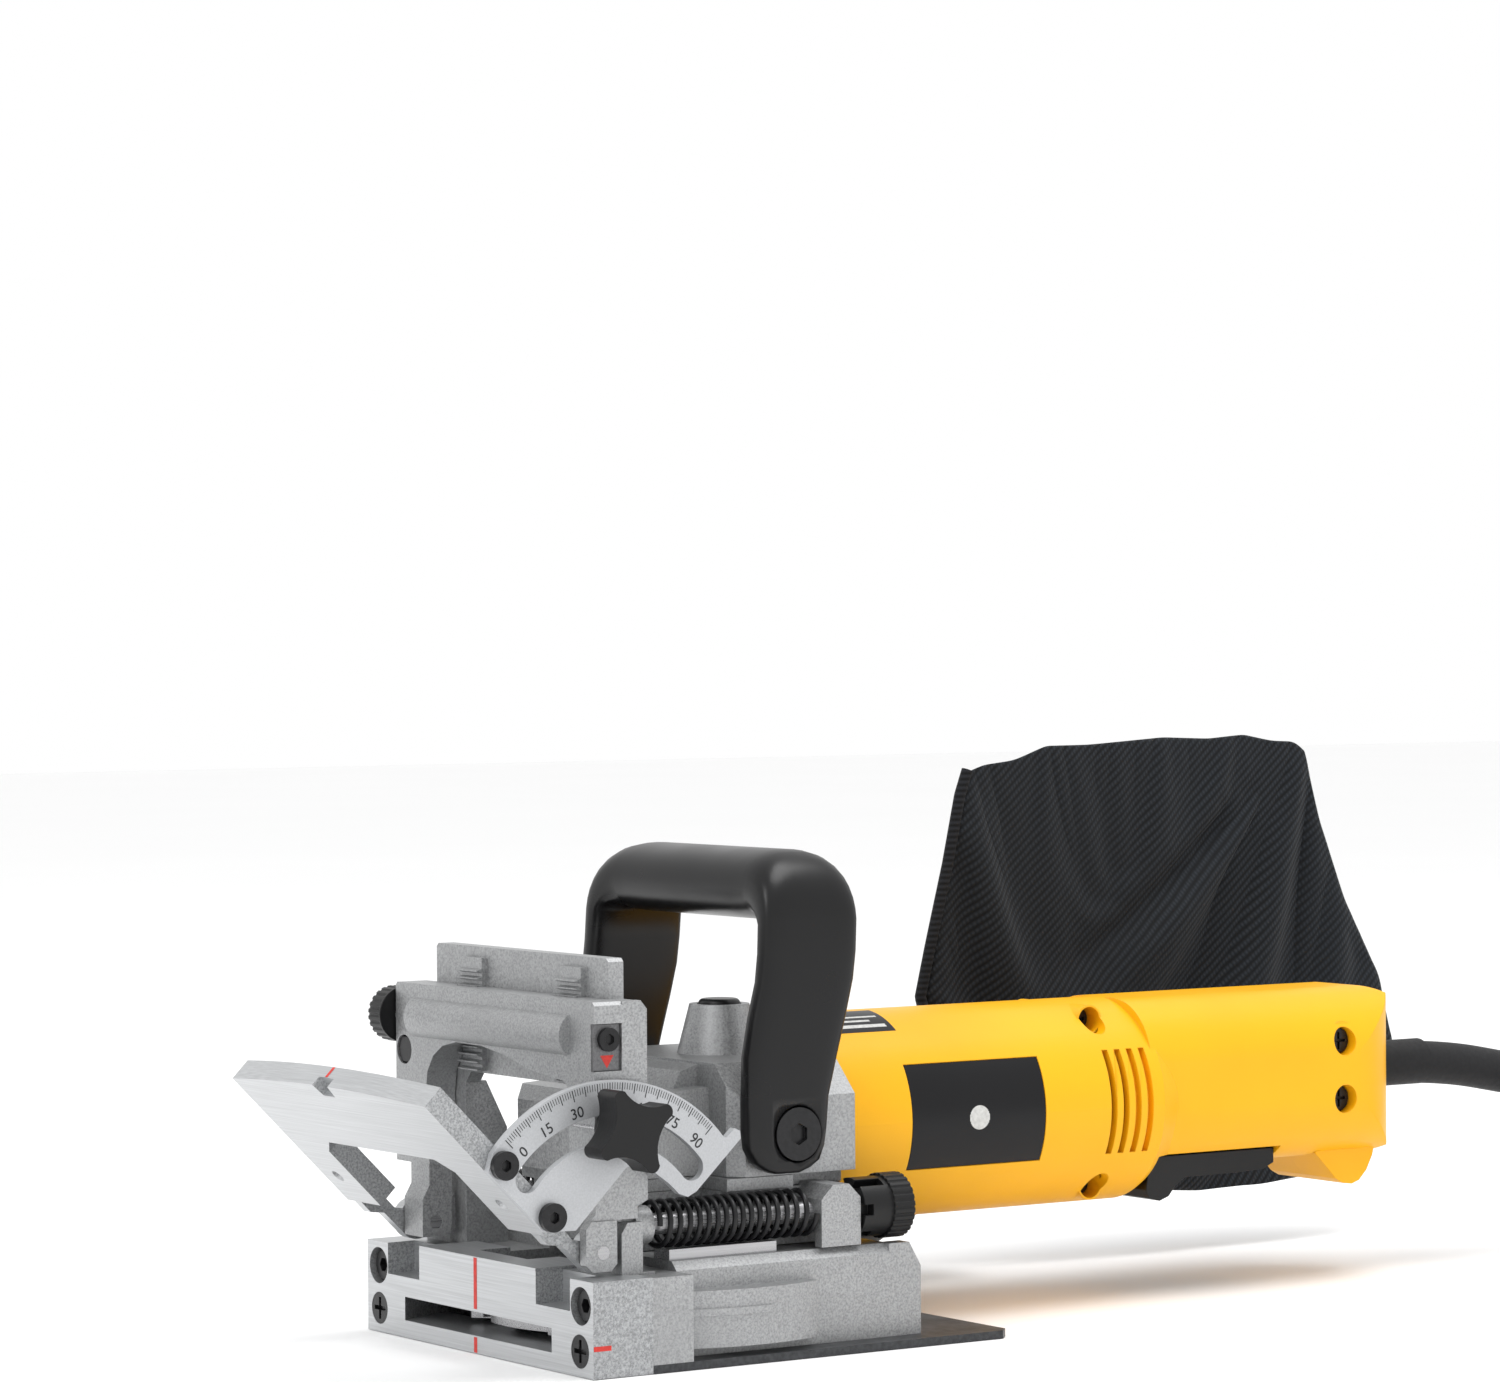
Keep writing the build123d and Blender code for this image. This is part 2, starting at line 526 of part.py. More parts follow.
def motor_envelope(shrink):
    """Outer form of the motor body and grip; shrink insets it for the inner face."""
    tube = bar_y(0, (MOTOR_Y[0] - (1 if shrink else 0), MOTOR_Y[1]), MOTOR_Z, MOTOR_R - shrink)
    low, high = GRIP_Z[0] + shrink, GRIP_Z[1] - shrink
    middle = (low + high) / 2
    profile = RectangleRounded(2 * (GRIP_HALF - shrink), high - low, 19 - shrink)
    grip = extrude(Plane(origin=(0, GRIP_Y[0], middle), x_dir=(1, 0, 0), z_dir=(0, 1, 0)) * profile,
                   amount=GRIP_Y[1] - GRIP_Y[0] - shrink)
    half, reach = GRIP_HALF - shrink, GRIP_Y[1] - GRIP_ROUND - shrink
    plan = block((-half, half), (220, GRIP_ROUND), (low, high))
    plan += Pos(0, GRIP_ROUND, low) * extrude(Ellipse(half, reach), amount=high - low)
    flank = extrude(Plane(origin=(-half, GRIP_Y[1] - 75 - shrink, middle), x_dir=(0, 1, 0), z_dir=(1, 0, 0))
                    * RectangleRounded(150, high - low, 13), amount=2 * half)
    grip = grip & plan & flank
    ring = Pos(0, MOTOR_Y[1] + 6, MOTOR_Z) * Rot(-90, 0, 0) * Cone(MOTOR_R - shrink, MOTOR_R - 6 - shrink, 12)
    return tube + grip + ring


def housing():
    hook = prism_x([(295.5, 40), (300, 35.5), (304, 31.4), (307, 29.8), (310.5, 29.4), (313.5, 30.4),
                    (316.5, 33.4), (319, 38), (320.5, 44), (320.5, 50), (306, 50)], (-16, 16))
    bosses = [bar_x((-25, 25), y, z, 6.2) for y, z in GRIP_SCREWS] + [bar_x((-17, 17), 206, 36, 4.6)]
    bosses.append(bar_x((-17, 17), 206, 86, 4.6))
    body = motor_envelope(0) + hook - motor_envelope(WALL) + gather(bosses)
    for y, z in GRIP_SCREWS:
        body -= bar_x((21, 30), y, z, 4.4) + bar_x((-20, 22), y, z, 1.7)
    for z in (36, 86):
        body -= bar_x((9, 40), 206, z, 4.0) + bar_x((-12, 10), 206, z, 1.7)
    body -= bar_y(0, (318, 345), 65, 7.4)
    body -= block((-40, 40), TRIGGER_Y, (25, TRIGGER_TOP)) + block((-18.6, 18.6), TRIGGER_Y, (40, 48))
    for side in (-1, 1):
        for index in range(4):
            y = 204.7 + index * 4.6
            body -= block(sorted((side * 24, side * 36)), (y - 1.1, y + 1.1), (46.4, 77.5))
        panel_zone = block(sorted((side * 20, side * 36)), (130, 179), (46, 77))
        body -= panel_zone & (bar_y(0, (130, 179), MOTOR_Z, MOTOR_R + 1) - bar_y(0, (129, 180), MOTOR_Z, PANEL_R))
    webs = block((-29, 29), (214, 220), (33, 88)) & bar_y(0, (214, 220), MOTOR_Z, MOTOR_R - WALL + 0.1)
    webs -= bar_y(0, (210, 225), MOTOR_Z, 8.02)
    lug = block((-4, 4), (219, 233.5), (37.5, 43.6)) - bar_x((-5, 5), *TRIGGER_PIN, 1.6)
    return body + webs + lug


def housing_half(side):
    half = block(sorted((0, side * 60)), (90, 350), (0, 120))
    return housing() & half


def housing_screws():
    screws = []
    places = [(21.05, 3.9, y, z) for y, z in GRIP_SCREWS] + [(9.05, 3.4, 206, z) for z in (36, 86)]
    for x, r, y, z in places:
        screw = bar_x((x, x + 2.4), y, z, r) + bar_x((x - 15, x + 0.1), y, z, 1.65)
        for turn in (0, 90):
            screw -= Pos(x + 2.4, y, z) * Rot(turn, 0, 0) * Box(2.2, 0.9, 1.4 * r)
        screws.append(screw)
    return gather(screws)


def label_panel():
    panels = []
    for side in (-1, 1):
        rim = bar_y(0, (130.2, 178.8), MOTOR_Z, MOTOR_R - 0.1) - bar_y(0, (130, 179), MOTOR_Z, PANEL_R)
        panels.append(rim & block(sorted((side * 20, side * 36)), (130.2, 178.8), (46.2, 76.8)))
    return gather(panels)


def stator():
    ring = bar_y(0, (128, 176), MOTOR_Z, MOTOR_R - WALL) - bar_y(0, (127, 177), MOTOR_Z, 17.4)
    slots = block((-20.5, 20.5), (127, 177), (MOTOR_Z - 13, MOTOR_Z + 13))
    return ring - (slots - bar_y(0, (127, 177), MOTOR_Z, 17.4) - block((-26, 26), (127, 177), (54, 67)))


def brush_holders():
    holder = block((12.4, 27.8), (187, 197), (56, 65)) - block((12, 27), (188.5, 195.5), (57.5, 63.5))
    return both(holder)


def carbon_brushes():
    return both(block((11.3, 22), (188.6, 195.4), (57.6, 63.4)))


def switch_body():
    return block((-8, 8), (240, 285), (49.5, 72)) + block((-4, 4), (245, 262), (47.4, 50))


def trigger():
    """A wide paddle that tips about the pin at its front end."""
    paddle = [(228.5, 43.0), (277, 43.0), (277, 38.5), (273, 36.6), (264, 36.2), (242, 36), (238, 33.5),
              (235.5, 30.6), (232, 29.4), (228, 30.4), (226.8, 33)]
    piece = prism_x(paddle, (-18, 18)) & block((-18, 18), (226.8, 277), (29, 43.2))
    piece -= block((-4.4, 4.4), (226, 235), (36.5, 44))
    return piece + bar_x((-18, 18), *TRIGGER_PIN, 1.5)


def handle_outline():
    return [(66, 50.6), (82, 50.6), (86.4, 56), (88.6, 72.3), (97.1, 103.7), (99.4, 130), (97.8, 136), (90, 141),
            (82, 142), (74, 141), (69, 137.4), (67.4, 130), (65.5, 105), (60.4, 84), (60.4, 72), (61, 56)]


def top_handle():
    leg = prism_x(handle_outline(), (43.2, 50)) - block((40, 60), (50, 110), (141.9, 150))
    leg -= bar_x((48.4, 51), 77, 61.7, 8.2)
    leg -= bar_x((42, 51), 77, 61.7, 3.05)
    profile = [(68.5, 127), (72, 123), (82, 121.6), (93, 123), (98.8, 128), (97.5, 136), (90, 141), (82, 142),
               (74, 141), (69, 137.4)]
    return both(leg) + prism_x(profile, (-43.3, 43.3))


def handle_screws():
    screws = []
    for side in (-1, 1):
        head = bar_x((48.4, 50.2), 77, 61.7, 7.6) + bar_x((33, 48.5), 77, 61.7, 3)
        head -= Pos(50.2, 77, 61.7) * Rot(0, 90, 0) * extrude(RegularPolygon(3.2, 6), amount=1.4, both=True)
        screws.append(head if side > 0 else mirror(head, about=Plane.YZ))
    return gather(screws)


# --- cutter spindle and armature --------------------------------------------
def spindle():
    shaft = bar_z(0, CUTTER_SETBACK, (5.0, 53.6), 5)
    shoulder = bar_z(0, CUTTER_SETBACK, (15.0, 30.2), 6.9)
    return shaft + shoulder


def cutter_flanges():
    """The shouldered flange above the cutter and the pin-hole nut below it."""
    upper = bar_z(0, CUTTER_SETBACK, (10.45, 14.9), 12) - bar_z(0, CUTTER_SETBACK, (10, 15.5), 5.0)
    lower = bar_z(0, CUTTER_SETBACK, (3.7, 6.35), 12) - bar_z(0, CUTTER_SETBACK, (3, 7), 5.0)
    for x in (-8.5, 8.5):
        lower -= bar_z(x, CUTTER_SETBACK, (3, 5.6), 1.6)
    return gather([upper, lower])


def cutter():
    """A six-tooth saw plate; each tooth tip is wider than the plate."""
    plate = Cylinder(46.5, 2.8)
    for index in range(6):
        gullet = Rot(0, 0, index * 60 + 11) * Pos(43.5, 0, 0) * Cylinder(6.2, 6)
        plate -= gullet
        tooth = [(42, -3.6), (47.5, -5.5), (49.8, 0), (42.5, 1.8)]
        plate += Rot(0, 0, index * 60) * extrude(make_face(Polyline(*tooth, close=True)), amount=2.0, both=True)
    plate -= Cylinder(5.0, 6)
    return Pos(0, CUTTER_SETBACK, sum(CUTTER_Z) / 2) * plate


def bevel(teeth, mate_teeth, phase):
    """A straight bevel gear as a frustum that shrinks toward its apex at z = 0."""
    pitch_r = BEVEL_MODULE * teeth / 2
    depth = BEVEL_MODULE * mate_teeth / 2
    slant = math.hypot(pitch_r, depth)
    stretch = slant / depth
    outline = toothed_outline(teeth, pitch_r, 0.7 * stretch, 1.05 * stretch, 0.36, phase)
    faces = []
    for scale_down in (1.0, 0.68):
        points = [(x * scale_down, y * scale_down, depth * scale_down) for x, y in outline]
        faces.append(make_face(Polyline(*points, close=True)))
    return loft(faces, ruled=True)


def bevel_gear():
    gear = bevel(GEAR_TEETH, PINION_TEETH, 180 / GEAR_TEETH - 90)
    gear = Pos(0, CUTTER_SETBACK, MOTOR_Z) * Rot(180, 0, 0) * gear
    gear &= bar_z(0, CUTTER_SETBACK, (40, 56.4), 18)
    back = bar_z(0, CUTTER_SETBACK, (49.6, 54.5), 12)
    hub = bar_z(0, CUTTER_SETBACK, (46.2, 49.7), 8)
    return gear + back + hub - bar_z(0, CUTTER_SETBACK, (40, 60), 5.0)


def bevel_pinion():
    gear = bevel(PINION_TEETH, GEAR_TEETH, -90)
    gear = Pos(0, CUTTER_SETBACK, MOTOR_Z) * Rot(-90, 0, 0) * gear
    hub = bar_y(0, (CUTTER_SETBACK + 16.4, 79.4), MOTOR_Z, 4.9)
    return gear + hub - bar_y(0, (50, 90), MOTOR_Z, 4.0)


def armature_shaft():
    shaft = bar_y(0, (69.5, 221), MOTOR_Z, 4)
    return shaft


def armature_core():
    core = bar_y(0, (129, 175), MOTOR_Z, 16.8)
    for index in range(12):
        angle = math.radians(index * 30)
        core -= bar_y(15.2 * math.cos(angle), (128, 176), MOTOR_Z + 15.2 * math.sin(angle), 1.7)
    return core - bar_y(0, (128, 176), MOTOR_Z, 4.0)


def commutator():
    ring = bar_y(0, (184, 200), MOTOR_Z, 11) - bar_y(0, (183, 201), MOTOR_Z, 4.0)
    return ring


def cooling_fan():
    disc = bar_y(0, (104, 106), MOTOR_Z, 25) + bar_y(0, (104, 116), MOTOR_Z, 8)
    for index in range(9):
        blade = block((7, 25), (105.5, 116), (-0.9, 0.9))
        disc += Pos(0, 0, MOTOR_Z) * Rot(0, index * 40, 0) * blade
    return disc - bar_y(0, (100, 120), MOTOR_Z, 4.0)


# --- cord -------------------------------------------------------------------
BOOT_ROUTE = [(0, 334, 65), (0, 352, 64.8), (0, 370, 63), (0, 388, 59.6)]
CORD_ROUTE = [(0, 388, 59.6), (0.3, 402, 55.5), (1.2, 414, 47.6), (3, 424, 36.5), (5.2, 433, 24.5),
              (8, 443, 13.5), (11, 455, 6.6), (13.2, 467, 4.5), (13.9, 475, 4.4)]


def tangent_radii(points):
    """For each corner, 0.45 of its shorter run over the tangent of half its turn."""
    radii = []
    for before, corner, after in zip(points, points[1:], points[2:]):
        first = Vector(*corner) - Vector(*before)
        second = Vector(*after) - Vector(*corner)
        half_turn = math.radians(first.get_angle(second)) / 2
        radii.append(0.45 * min(first.length, second.length) / math.tan(half_turn))
    return radii


def tube(points, r):
    radii = tangent_radii(points)
    route = FilletPolyline(*points, radius=radii)
    start = Plane(origin=route @ 0, z_dir=route % 0)
    return sweep(start * Circle(r), path=route), route.length, min(radii)


def cord():
    piece, length, tightest = tube(CORD_ROUTE, CORD_R)
    print(f"cord tube {length:.1f} mm, tightest radius {tightest:.1f} mm,",
          f"volume ratio {piece.volume / (math.pi * CORD_R ** 2 * length):.4f}")
    return piece


def cord_boot():
    """A smooth strain relief with a flange inside the housing."""
    piece = bar_y(0, (318.5, 352), 65, 7.3) + bar_y(0, (318.5, 321.5), 65, 9)
    wide, _, _ = tube(BOOT_ROUTE, 6.8)
    return piece + wide


def cord_clamp():
    return block((-12, 12), (308, 315), (53.4, 57.4)) + block((-12, 12), (308, 315), (72.6, 76.6))


def cord_coil():
    """The outer form of the put-away turns, wound beside and on each other."""
    half = COIL_SECTION
    profile = RectangleRounded(2 * half, 2 * half, 4)
    section = Plane(origin=(COIL_CENTRE[0] + COIL_MEAN_R, COIL_CENTRE[1], half + 0.3), x_dir=(1, 0, 0),
                    z_dir=(0, 1, 0)) * profile
    return revolve(section, axis=Axis((*COIL_CENTRE, 0), (0, 0, 1)))


def cord_tie():
    angle = math.radians(70)
    x = COIL_CENTRE[0] + COIL_MEAN_R * math.cos(angle)
    y = COIL_CENTRE[1] + COIL_MEAN_R * math.sin(angle)
    outer = RectangleRounded(2 * COIL_SECTION + 3, 2 * COIL_SECTION + 1.6, 4.5)
    inner = RectangleRounded(2 * COIL_SECTION + 0.4, 2 * COIL_SECTION + 0.4, 4)
    plane = Plane(origin=(x, y, COIL_SECTION + 0.9), x_dir=(math.cos(angle), math.sin(angle), 0),
                  z_dir=(-math.sin(angle), math.cos(angle), 0))
    return extrude(plane * (outer - inner), amount=4, both=True)


def plug_place():
    return Pos(COIL_CENTRE[0], COIL_CENTRE[1] - 14, 2 * COIL_SECTION + 0.4)


def plug_body():
    body = prism_y([(-13, 0), (13, 0), (13, 14), (9, 19), (-9, 19), (-13, 14)], (-14, 14))
    tail = bar_y(0, (-30, -13), 9.5, 6.2)
    return plug_place() * (body + tail)


def plug_blades():
    pins = [block((x - 3.2, x + 3.2), (13.9, 31), (8.7, 10.3)) for x in (-6.4, 6.4)]
    return plug_place() * gather([Pos(0, 0.1, 0) * pin for pin in pins])


# --- export -----------------------------------------------------------------
NODES = {
    "sole_plate": sole_plate, "sole_screws": sole_screws, "front_block": front_block,
    "front_screws": front_screws, "blade_housing": blade_housing, "guide_rails": guide_rails,
    "rack_frame": rack_frame, "guide_rods": guide_rods,
    "spring_left": lambda: spring(-1), "spring_right": lambda: spring(1),
    "dust_spout": dust_spout, "bag_collar": bag_collar, "dust_bag": dust_bag,
    "anti_slip_pin_left": lambda: anti_slip_pin(-56), "anti_slip_pin_right": lambda: anti_slip_pin(56),
    "fence_carriage": fence_carriage, "height_lock_nut": height_lock_nut, "pointer_plate": pointer_plate,
    "pointer_screw": pointer_screw, "hinge_pins": hinge_pins, "clamp_stud": clamp_stud,
    "height_shaft": height_shaft, "height_knob": height_knob, "tilt_lock_knob": tilt_lock_knob,
    "tilt_fence": tilt_fence, "angle_quadrant": angle_quadrant, "quadrant_screws": quadrant_screws,
    "slide_foot": slide_foot, "depth_turret": depth_turret, "gear_case_cover": gear_case_cover,
    "gear_case": gear_case, "spindle_lock_button": spindle_lock_button, "ball_bearings": ball_bearings,
    "housing_left": lambda: housing_half(-1), "housing_right": lambda: housing_half(1),
    "housing_screws": housing_screws, "label_panel": label_panel, "stator": stator,
    "brush_holders": brush_holders, "carbon_brushes": carbon_brushes, "switch_body": switch_body,
    "trigger": trigger, "top_handle": top_handle, "handle_screws": handle_screws, "spindle": spindle,
    "cutter_flanges": cutter_flanges, "cutter": cutter, "bevel_gear": bevel_gear,
    "bevel_pinion": bevel_pinion, "armature_shaft": armature_shaft, "armature_core": armature_core,
    "commutator": commutator, "cooling_fan": cooling_fan, "cord_clamp": cord_clamp,
    "cord_boot": cord_boot, "cord": cord, "cord_coil": cord_coil, "cord_tie": cord_tie,
    "plug_body": plug_body, "plug_blades": plug_blades,
}


def export():
    os.makedirs("parts", exist_ok=True)
    for name, make in NODES.items():
        piece = Pos(0, -CUTTER_SETBACK, 0) * make()
        export_step(piece, f"parts/{name}.step")


export()
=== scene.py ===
"""Looks of the biscuit joiner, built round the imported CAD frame. Metres, row frame."""
import json
import math

import bmesh
import bpy
from mathutils import Matrix, Vector, noise


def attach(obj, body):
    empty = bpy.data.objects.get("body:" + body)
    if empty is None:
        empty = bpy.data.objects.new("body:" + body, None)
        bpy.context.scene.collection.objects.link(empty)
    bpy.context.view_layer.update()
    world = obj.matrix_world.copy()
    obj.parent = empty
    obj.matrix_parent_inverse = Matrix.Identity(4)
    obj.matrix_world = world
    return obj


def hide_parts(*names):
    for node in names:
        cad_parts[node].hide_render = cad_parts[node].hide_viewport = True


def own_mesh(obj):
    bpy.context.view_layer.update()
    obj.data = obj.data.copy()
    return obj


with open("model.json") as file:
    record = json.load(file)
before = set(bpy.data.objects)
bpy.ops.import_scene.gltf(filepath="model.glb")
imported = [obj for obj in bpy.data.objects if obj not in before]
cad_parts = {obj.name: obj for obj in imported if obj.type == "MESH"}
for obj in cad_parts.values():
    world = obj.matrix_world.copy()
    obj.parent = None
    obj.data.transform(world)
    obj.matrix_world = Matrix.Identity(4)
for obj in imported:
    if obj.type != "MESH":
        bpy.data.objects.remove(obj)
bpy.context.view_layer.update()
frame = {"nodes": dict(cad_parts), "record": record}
NODES = frame["nodes"]
MM = 0.001
SETBACK = 56.0               # mm from the front face back to the spindle, the row's origin


def at(x, d, z):
    """A point from mm: across, behind the front face, above the sole."""
    return Vector((x, d - SETBACK, z)) * MM


# --- camera, light and floor -------------------------------------------------
CAMERA_AT = at(1224.55, -717.26, 201.77)
CAMERA_AZIMUTH = math.radians(56.459)
CAMERA_TILT = math.radians(0.572)    # below the horizon
CAMERA_ROLL = math.radians(-0.371)
CAMERA_LENS = 119.94                 # mm on a sensor 36 mm wide


def make_camera():
    data = bpy.data.cameras.new("camera")
    data.sensor_fit = "HORIZONTAL"
    data.sensor_width = 36.0
    data.lens = CAMERA_LENS
    data.clip_start, data.clip_end = 0.05, 30.0
    camera = bpy.data.objects.new("camera", data)
    sin_a, cos_a = math.sin(CAMERA_AZIMUTH), math.cos(CAMERA_AZIMUTH)
    sin_e, cos_e = math.sin(CAMERA_TILT), math.cos(CAMERA_TILT)
    forward = Vector((-sin_a * cos_e, cos_a * cos_e, -sin_e))
    level_right = forward.cross(Vector((0, 0, 1))).normalized()
    level_up = level_right.cross(forward)
    right = level_right * math.cos(CAMERA_ROLL) + level_up * math.sin(CAMERA_ROLL)
    up = level_up * math.cos(CAMERA_ROLL) - level_right * math.sin(CAMERA_ROLL)
    turn = Matrix((right, up, -forward)).transposed()
    camera.matrix_world = Matrix.Translation(CAMERA_AT) @ turn.to_4x4()
    bpy.context.scene.collection.objects.link(camera)
    bpy.context.scene.camera = camera


def make_light(name, place, target, size, power, colour=(1, 1, 1)):
    data = bpy.data.lights.new(name, "AREA")
    data.shape = "RECTANGLE"
    data.size, data.size_y = size
    data.energy = power
    data.color = colour
    light = bpy.data.objects.new(name, data)
    light.location = place
    light.rotation_mode = "QUATERNION"
    light.rotation_quaternion = (Vector(target) - Vector(place)).to_track_quat("-Z", "Y")
    bpy.context.scene.collection.objects.link(light)


def make_studio():
    scene = bpy.context.scene
    scene.view_settings.view_transform = "Standard"
    world = bpy.data.worlds.new("studio")
    world.use_nodes = True
    world.node_tree.nodes["Background"].inputs["Color"].default_value = (1.0, 1.0, 1.0, 1)
    world.node_tree.nodes["Background"].inputs["Strength"].default_value = 1.0
    scene.world = world
    make_light("key_light", (0.5, -1.5, 1.3), (0, 0.05, 0.05), (0.7, 0.7), 10)
    make_light("top_light", (0.3, 0.4, 1.5), (0, 0.1, 0.0), (1.0, 0.7), 12)


def make_floor():
    mesh = bpy.data.meshes.new("floor")
    half = 6.0
    corners = [(-half, -half, 0), (half, -half, 0), (half, half, 0), (-half, half, 0)]
    mesh.from_pydata([Vector(c) + Vector((0, 0, -0.0002)) for c in corners], [], [(0, 1, 2, 3)])
    floor = bpy.data.objects.new("floor", mesh)
    bpy.context.scene.collection.objects.link(floor)
    floor.data.materials.append(plain_floor_material())


# --- materials ---------------------------------------------------------------
class Finish:
    """A material under construction: a Principled shader and helpers that feed it."""

    def __init__(self, name, colour, roughness, metallic=0.0):
        self.material = bpy.data.materials.new(name)
        self.material.use_nodes = True
        self.tree = self.material.node_tree
        self.shader = self.tree.nodes["Principled BSDF"]
        self.shader.inputs["Base Color"].default_value = (*colour, 1)
        self.shader.inputs["Roughness"].default_value = roughness
        self.shader.inputs["Metallic"].default_value = metallic
        self.colour = colour
        coordinates = self.add("ShaderNodeTexCoord")
        self.position = coordinates.outputs["Object"]
        self.facing = coordinates.outputs["Normal"]
        self.normal = None

    def add(self, kind, values=None, **settings):
        node = self.tree.nodes.new(kind)
        for key, value in settings.items():
            setattr(node, key, value)
        for key, value in (values or {}).items():
            if isinstance(value, bpy.types.NodeSocket):
                self.tree.links.new(value, node.inputs[key])
            else:
                node.inputs[key].default_value = value
        return node

    def stretched(self, scale, turn=(0, 0, 0)):
        """Object coordinates scaled per axis, in cells per metre, after a turn in degrees."""
        turned = self.add("ShaderNodeMapping", {"Vector": self.position,
                                                "Rotation": [math.radians(t) for t in turn]})
        return self.add("ShaderNodeMapping", {"Vector": turned.outputs[0], "Scale": scale}).outputs[0]

    def noise(self, scale, detail=3.0, rough=0.55, vector=None):
        node = self.add("ShaderNodeTexNoise", {"Vector": vector or self.position, "Scale": scale,
                                               "Detail": detail, "Roughness": rough})
        return node.outputs["Fac"]

    def cells(self, scale, vector=None, feature="F1"):
        node = self.add("ShaderNodeTexVoronoi", {"Vector": vector or self.position, "Scale": scale},
                        feature=feature)
        return node.outputs["Distance"]

    def maths(self, operation, first, second=0.0):
        node = self.add("ShaderNodeMath", {0: first, 1: second}, operation=operation)
        return node.outputs[0]

    def remap(self, value, low, high, out_low=0.0, out_high=1.0):
        node = self.add("ShaderNodeMapRange", {"Value": value, "From Min": low, "From Max": high,
                                               "To Min": out_low, "To Max": out_high})
        return node.outputs["Result"]

    def mix(self, factor, first, second):
        node = self.add("ShaderNodeMix", data_type="RGBA")
        for index, value in ((0, factor), (6, first), (7, second)):
            if isinstance(value, bpy.types.NodeSocket):
                self.tree.links.new(value, node.inputs[index])
            elif index:
                node.inputs[index].default_value = (*value, 1)
            else:
                node.inputs[index].default_value = value
        return node.outputs[2]

    def paint(self, socket):
        self.tree.links.new(socket, self.shader.inputs["Base Color"])

    def rough(self, socket):
        self.tree.links.new(socket, self.shader.inputs["Roughness"])

    def soften_edges(self, radius):
        """Rounds the shading of sharp edges over a radius in mm."""
        node = self.add("ShaderNodeBevel", {"Radius": radius * MM}, samples=4)
        self.normal = node.outputs["Normal"]
        self.tree.links.new(self.normal, self.shader.inputs["Normal"])

    def bump(self, height, depth, strength=1.0):
        """Relief of the given depth in mm."""
        node = self.add("ShaderNodeBump", {"Height": height, "Distance": depth * MM, "Strength": strength})
        if self.normal:
            self.tree.links.new(self.normal, node.inputs["Normal"])
        self.normal = node.outputs["Normal"]
        self.tree.links.new(self.normal, self.shader.inputs["Normal"])


def shade(colour, factor):
    return tuple(min(1.0, c * factor) for c in colour)


def plain_floor_material():
    f = Finish("floor_white", (0.95, 0.95, 0.95), 0.8)
    f.paint(f.mix(f.noise(3.0), (0.95, 0.95, 0.95), (0.975, 0.975, 0.975)))
    return f.material


def cast_metal(name, colour, grain=1500.0, depth=0.06, roughness=0.48):
    """Blasted die casting: fine light and dark grains over a faint mottling."""
    f = Finish(name, colour, roughness, 0.75)
    grains = f.noise(grain, 2.0, 0.7)
    speckle = f.mix(f.remap(grains, 0.32, 0.68), shade(colour, 0.66), shade(colour, 1.28))
    mottling = f.noise(45.0, 3.0)
    f.paint(f.mix(f.remap(mottling, 0.35, 0.7, 0.0, 0.35), speckle, shade(colour, 0.8)))
    f.rough(f.remap(grains, 0.3, 0.7, roughness - 0.1, roughness + 0.14))
    f.soften_edges(0.16)
    f.bump(grains, depth, 0.7)
    return f.material


def machined_metal(name, colour, lay, roughness=0.34):
    """Milled or ground metal: fine lay lines along one axis."""
    f = Finish(name, colour, roughness, 0.85)
    scale = [2600.0, 2600.0, 2600.0]
    scale[lay] = 30.0
    lines = f.noise(1.0, 2.0, 0.5, f.stretched(scale))
    cloud = f.noise(28.0, 2.0)
    streaks = f.mix(f.remap(lines, 0.3, 0.7), shade(colour, 0.84), shade(colour, 1.12))
    f.paint(f.mix(f.remap(cloud, 0.3, 0.7, 0.0, 0.3), streaks, shade(colour, 0.9)))
    f.rough(f.remap(lines, 0.3, 0.7, roughness - 0.06, roughness + 0.1))
    f.soften_edges(0.15)
    f.bump(lines, 0.02, 0.5)
    return f.material


def milled_casting(name, colour):
    """A casting milled on its faces across and along; its flanks keep the blasted skin."""
    f = Finish(name, colour, 0.36, 0.8)
    lines = f.noise(1.0, 2.0, 0.5, f.stretched((30.0, 2600.0, 2600.0)))
    grains = f.noise(1500.0, 2.0, 0.7)
    facing = f.add("ShaderNodeSeparateXYZ", {"Vector": f.facing}).outputs[0]
    flank = f.remap(f.maths("ABSOLUTE", facing), 0.6, 0.8)
    streaks = f.mix(f.remap(lines, 0.3, 0.7), shade(colour, 0.9), shade(colour, 1.1))
    speckle = f.mix(f.remap(grains, 0.34, 0.68), shade(colour, 0.5), shade(colour, 0.98))
    f.paint(f.mix(flank, streaks, speckle))
    f.rough(f.remap(flank, 0.0, 1.0, 0.36, 0.55))
    f.soften_edges(0.15)
    f.bump(f.maths("MULTIPLY", grains, f.remap(flank, 0.0, 1.0, 0.15, 1.0)), 0.05, 0.6)
    return f.material


def etched_plate(name, colour):
    """Satin plate under a clear etch: matt, with the faintest grain."""
    f = Finish(name, colour, 0.5, 0.6)
    grain = f.noise(1900.0, 2.0)
    f.paint(f.mix(f.remap(grain, 0.3, 0.7), shade(colour, 0.93), shade(colour, 1.06)))
    f.rough(f.remap(f.noise(35.0), 0.3, 0.7, 0.44, 0.56))
    f.soften_edges(0.15)
    f.bump(grain, 0.01, 0.5)
    return f.material


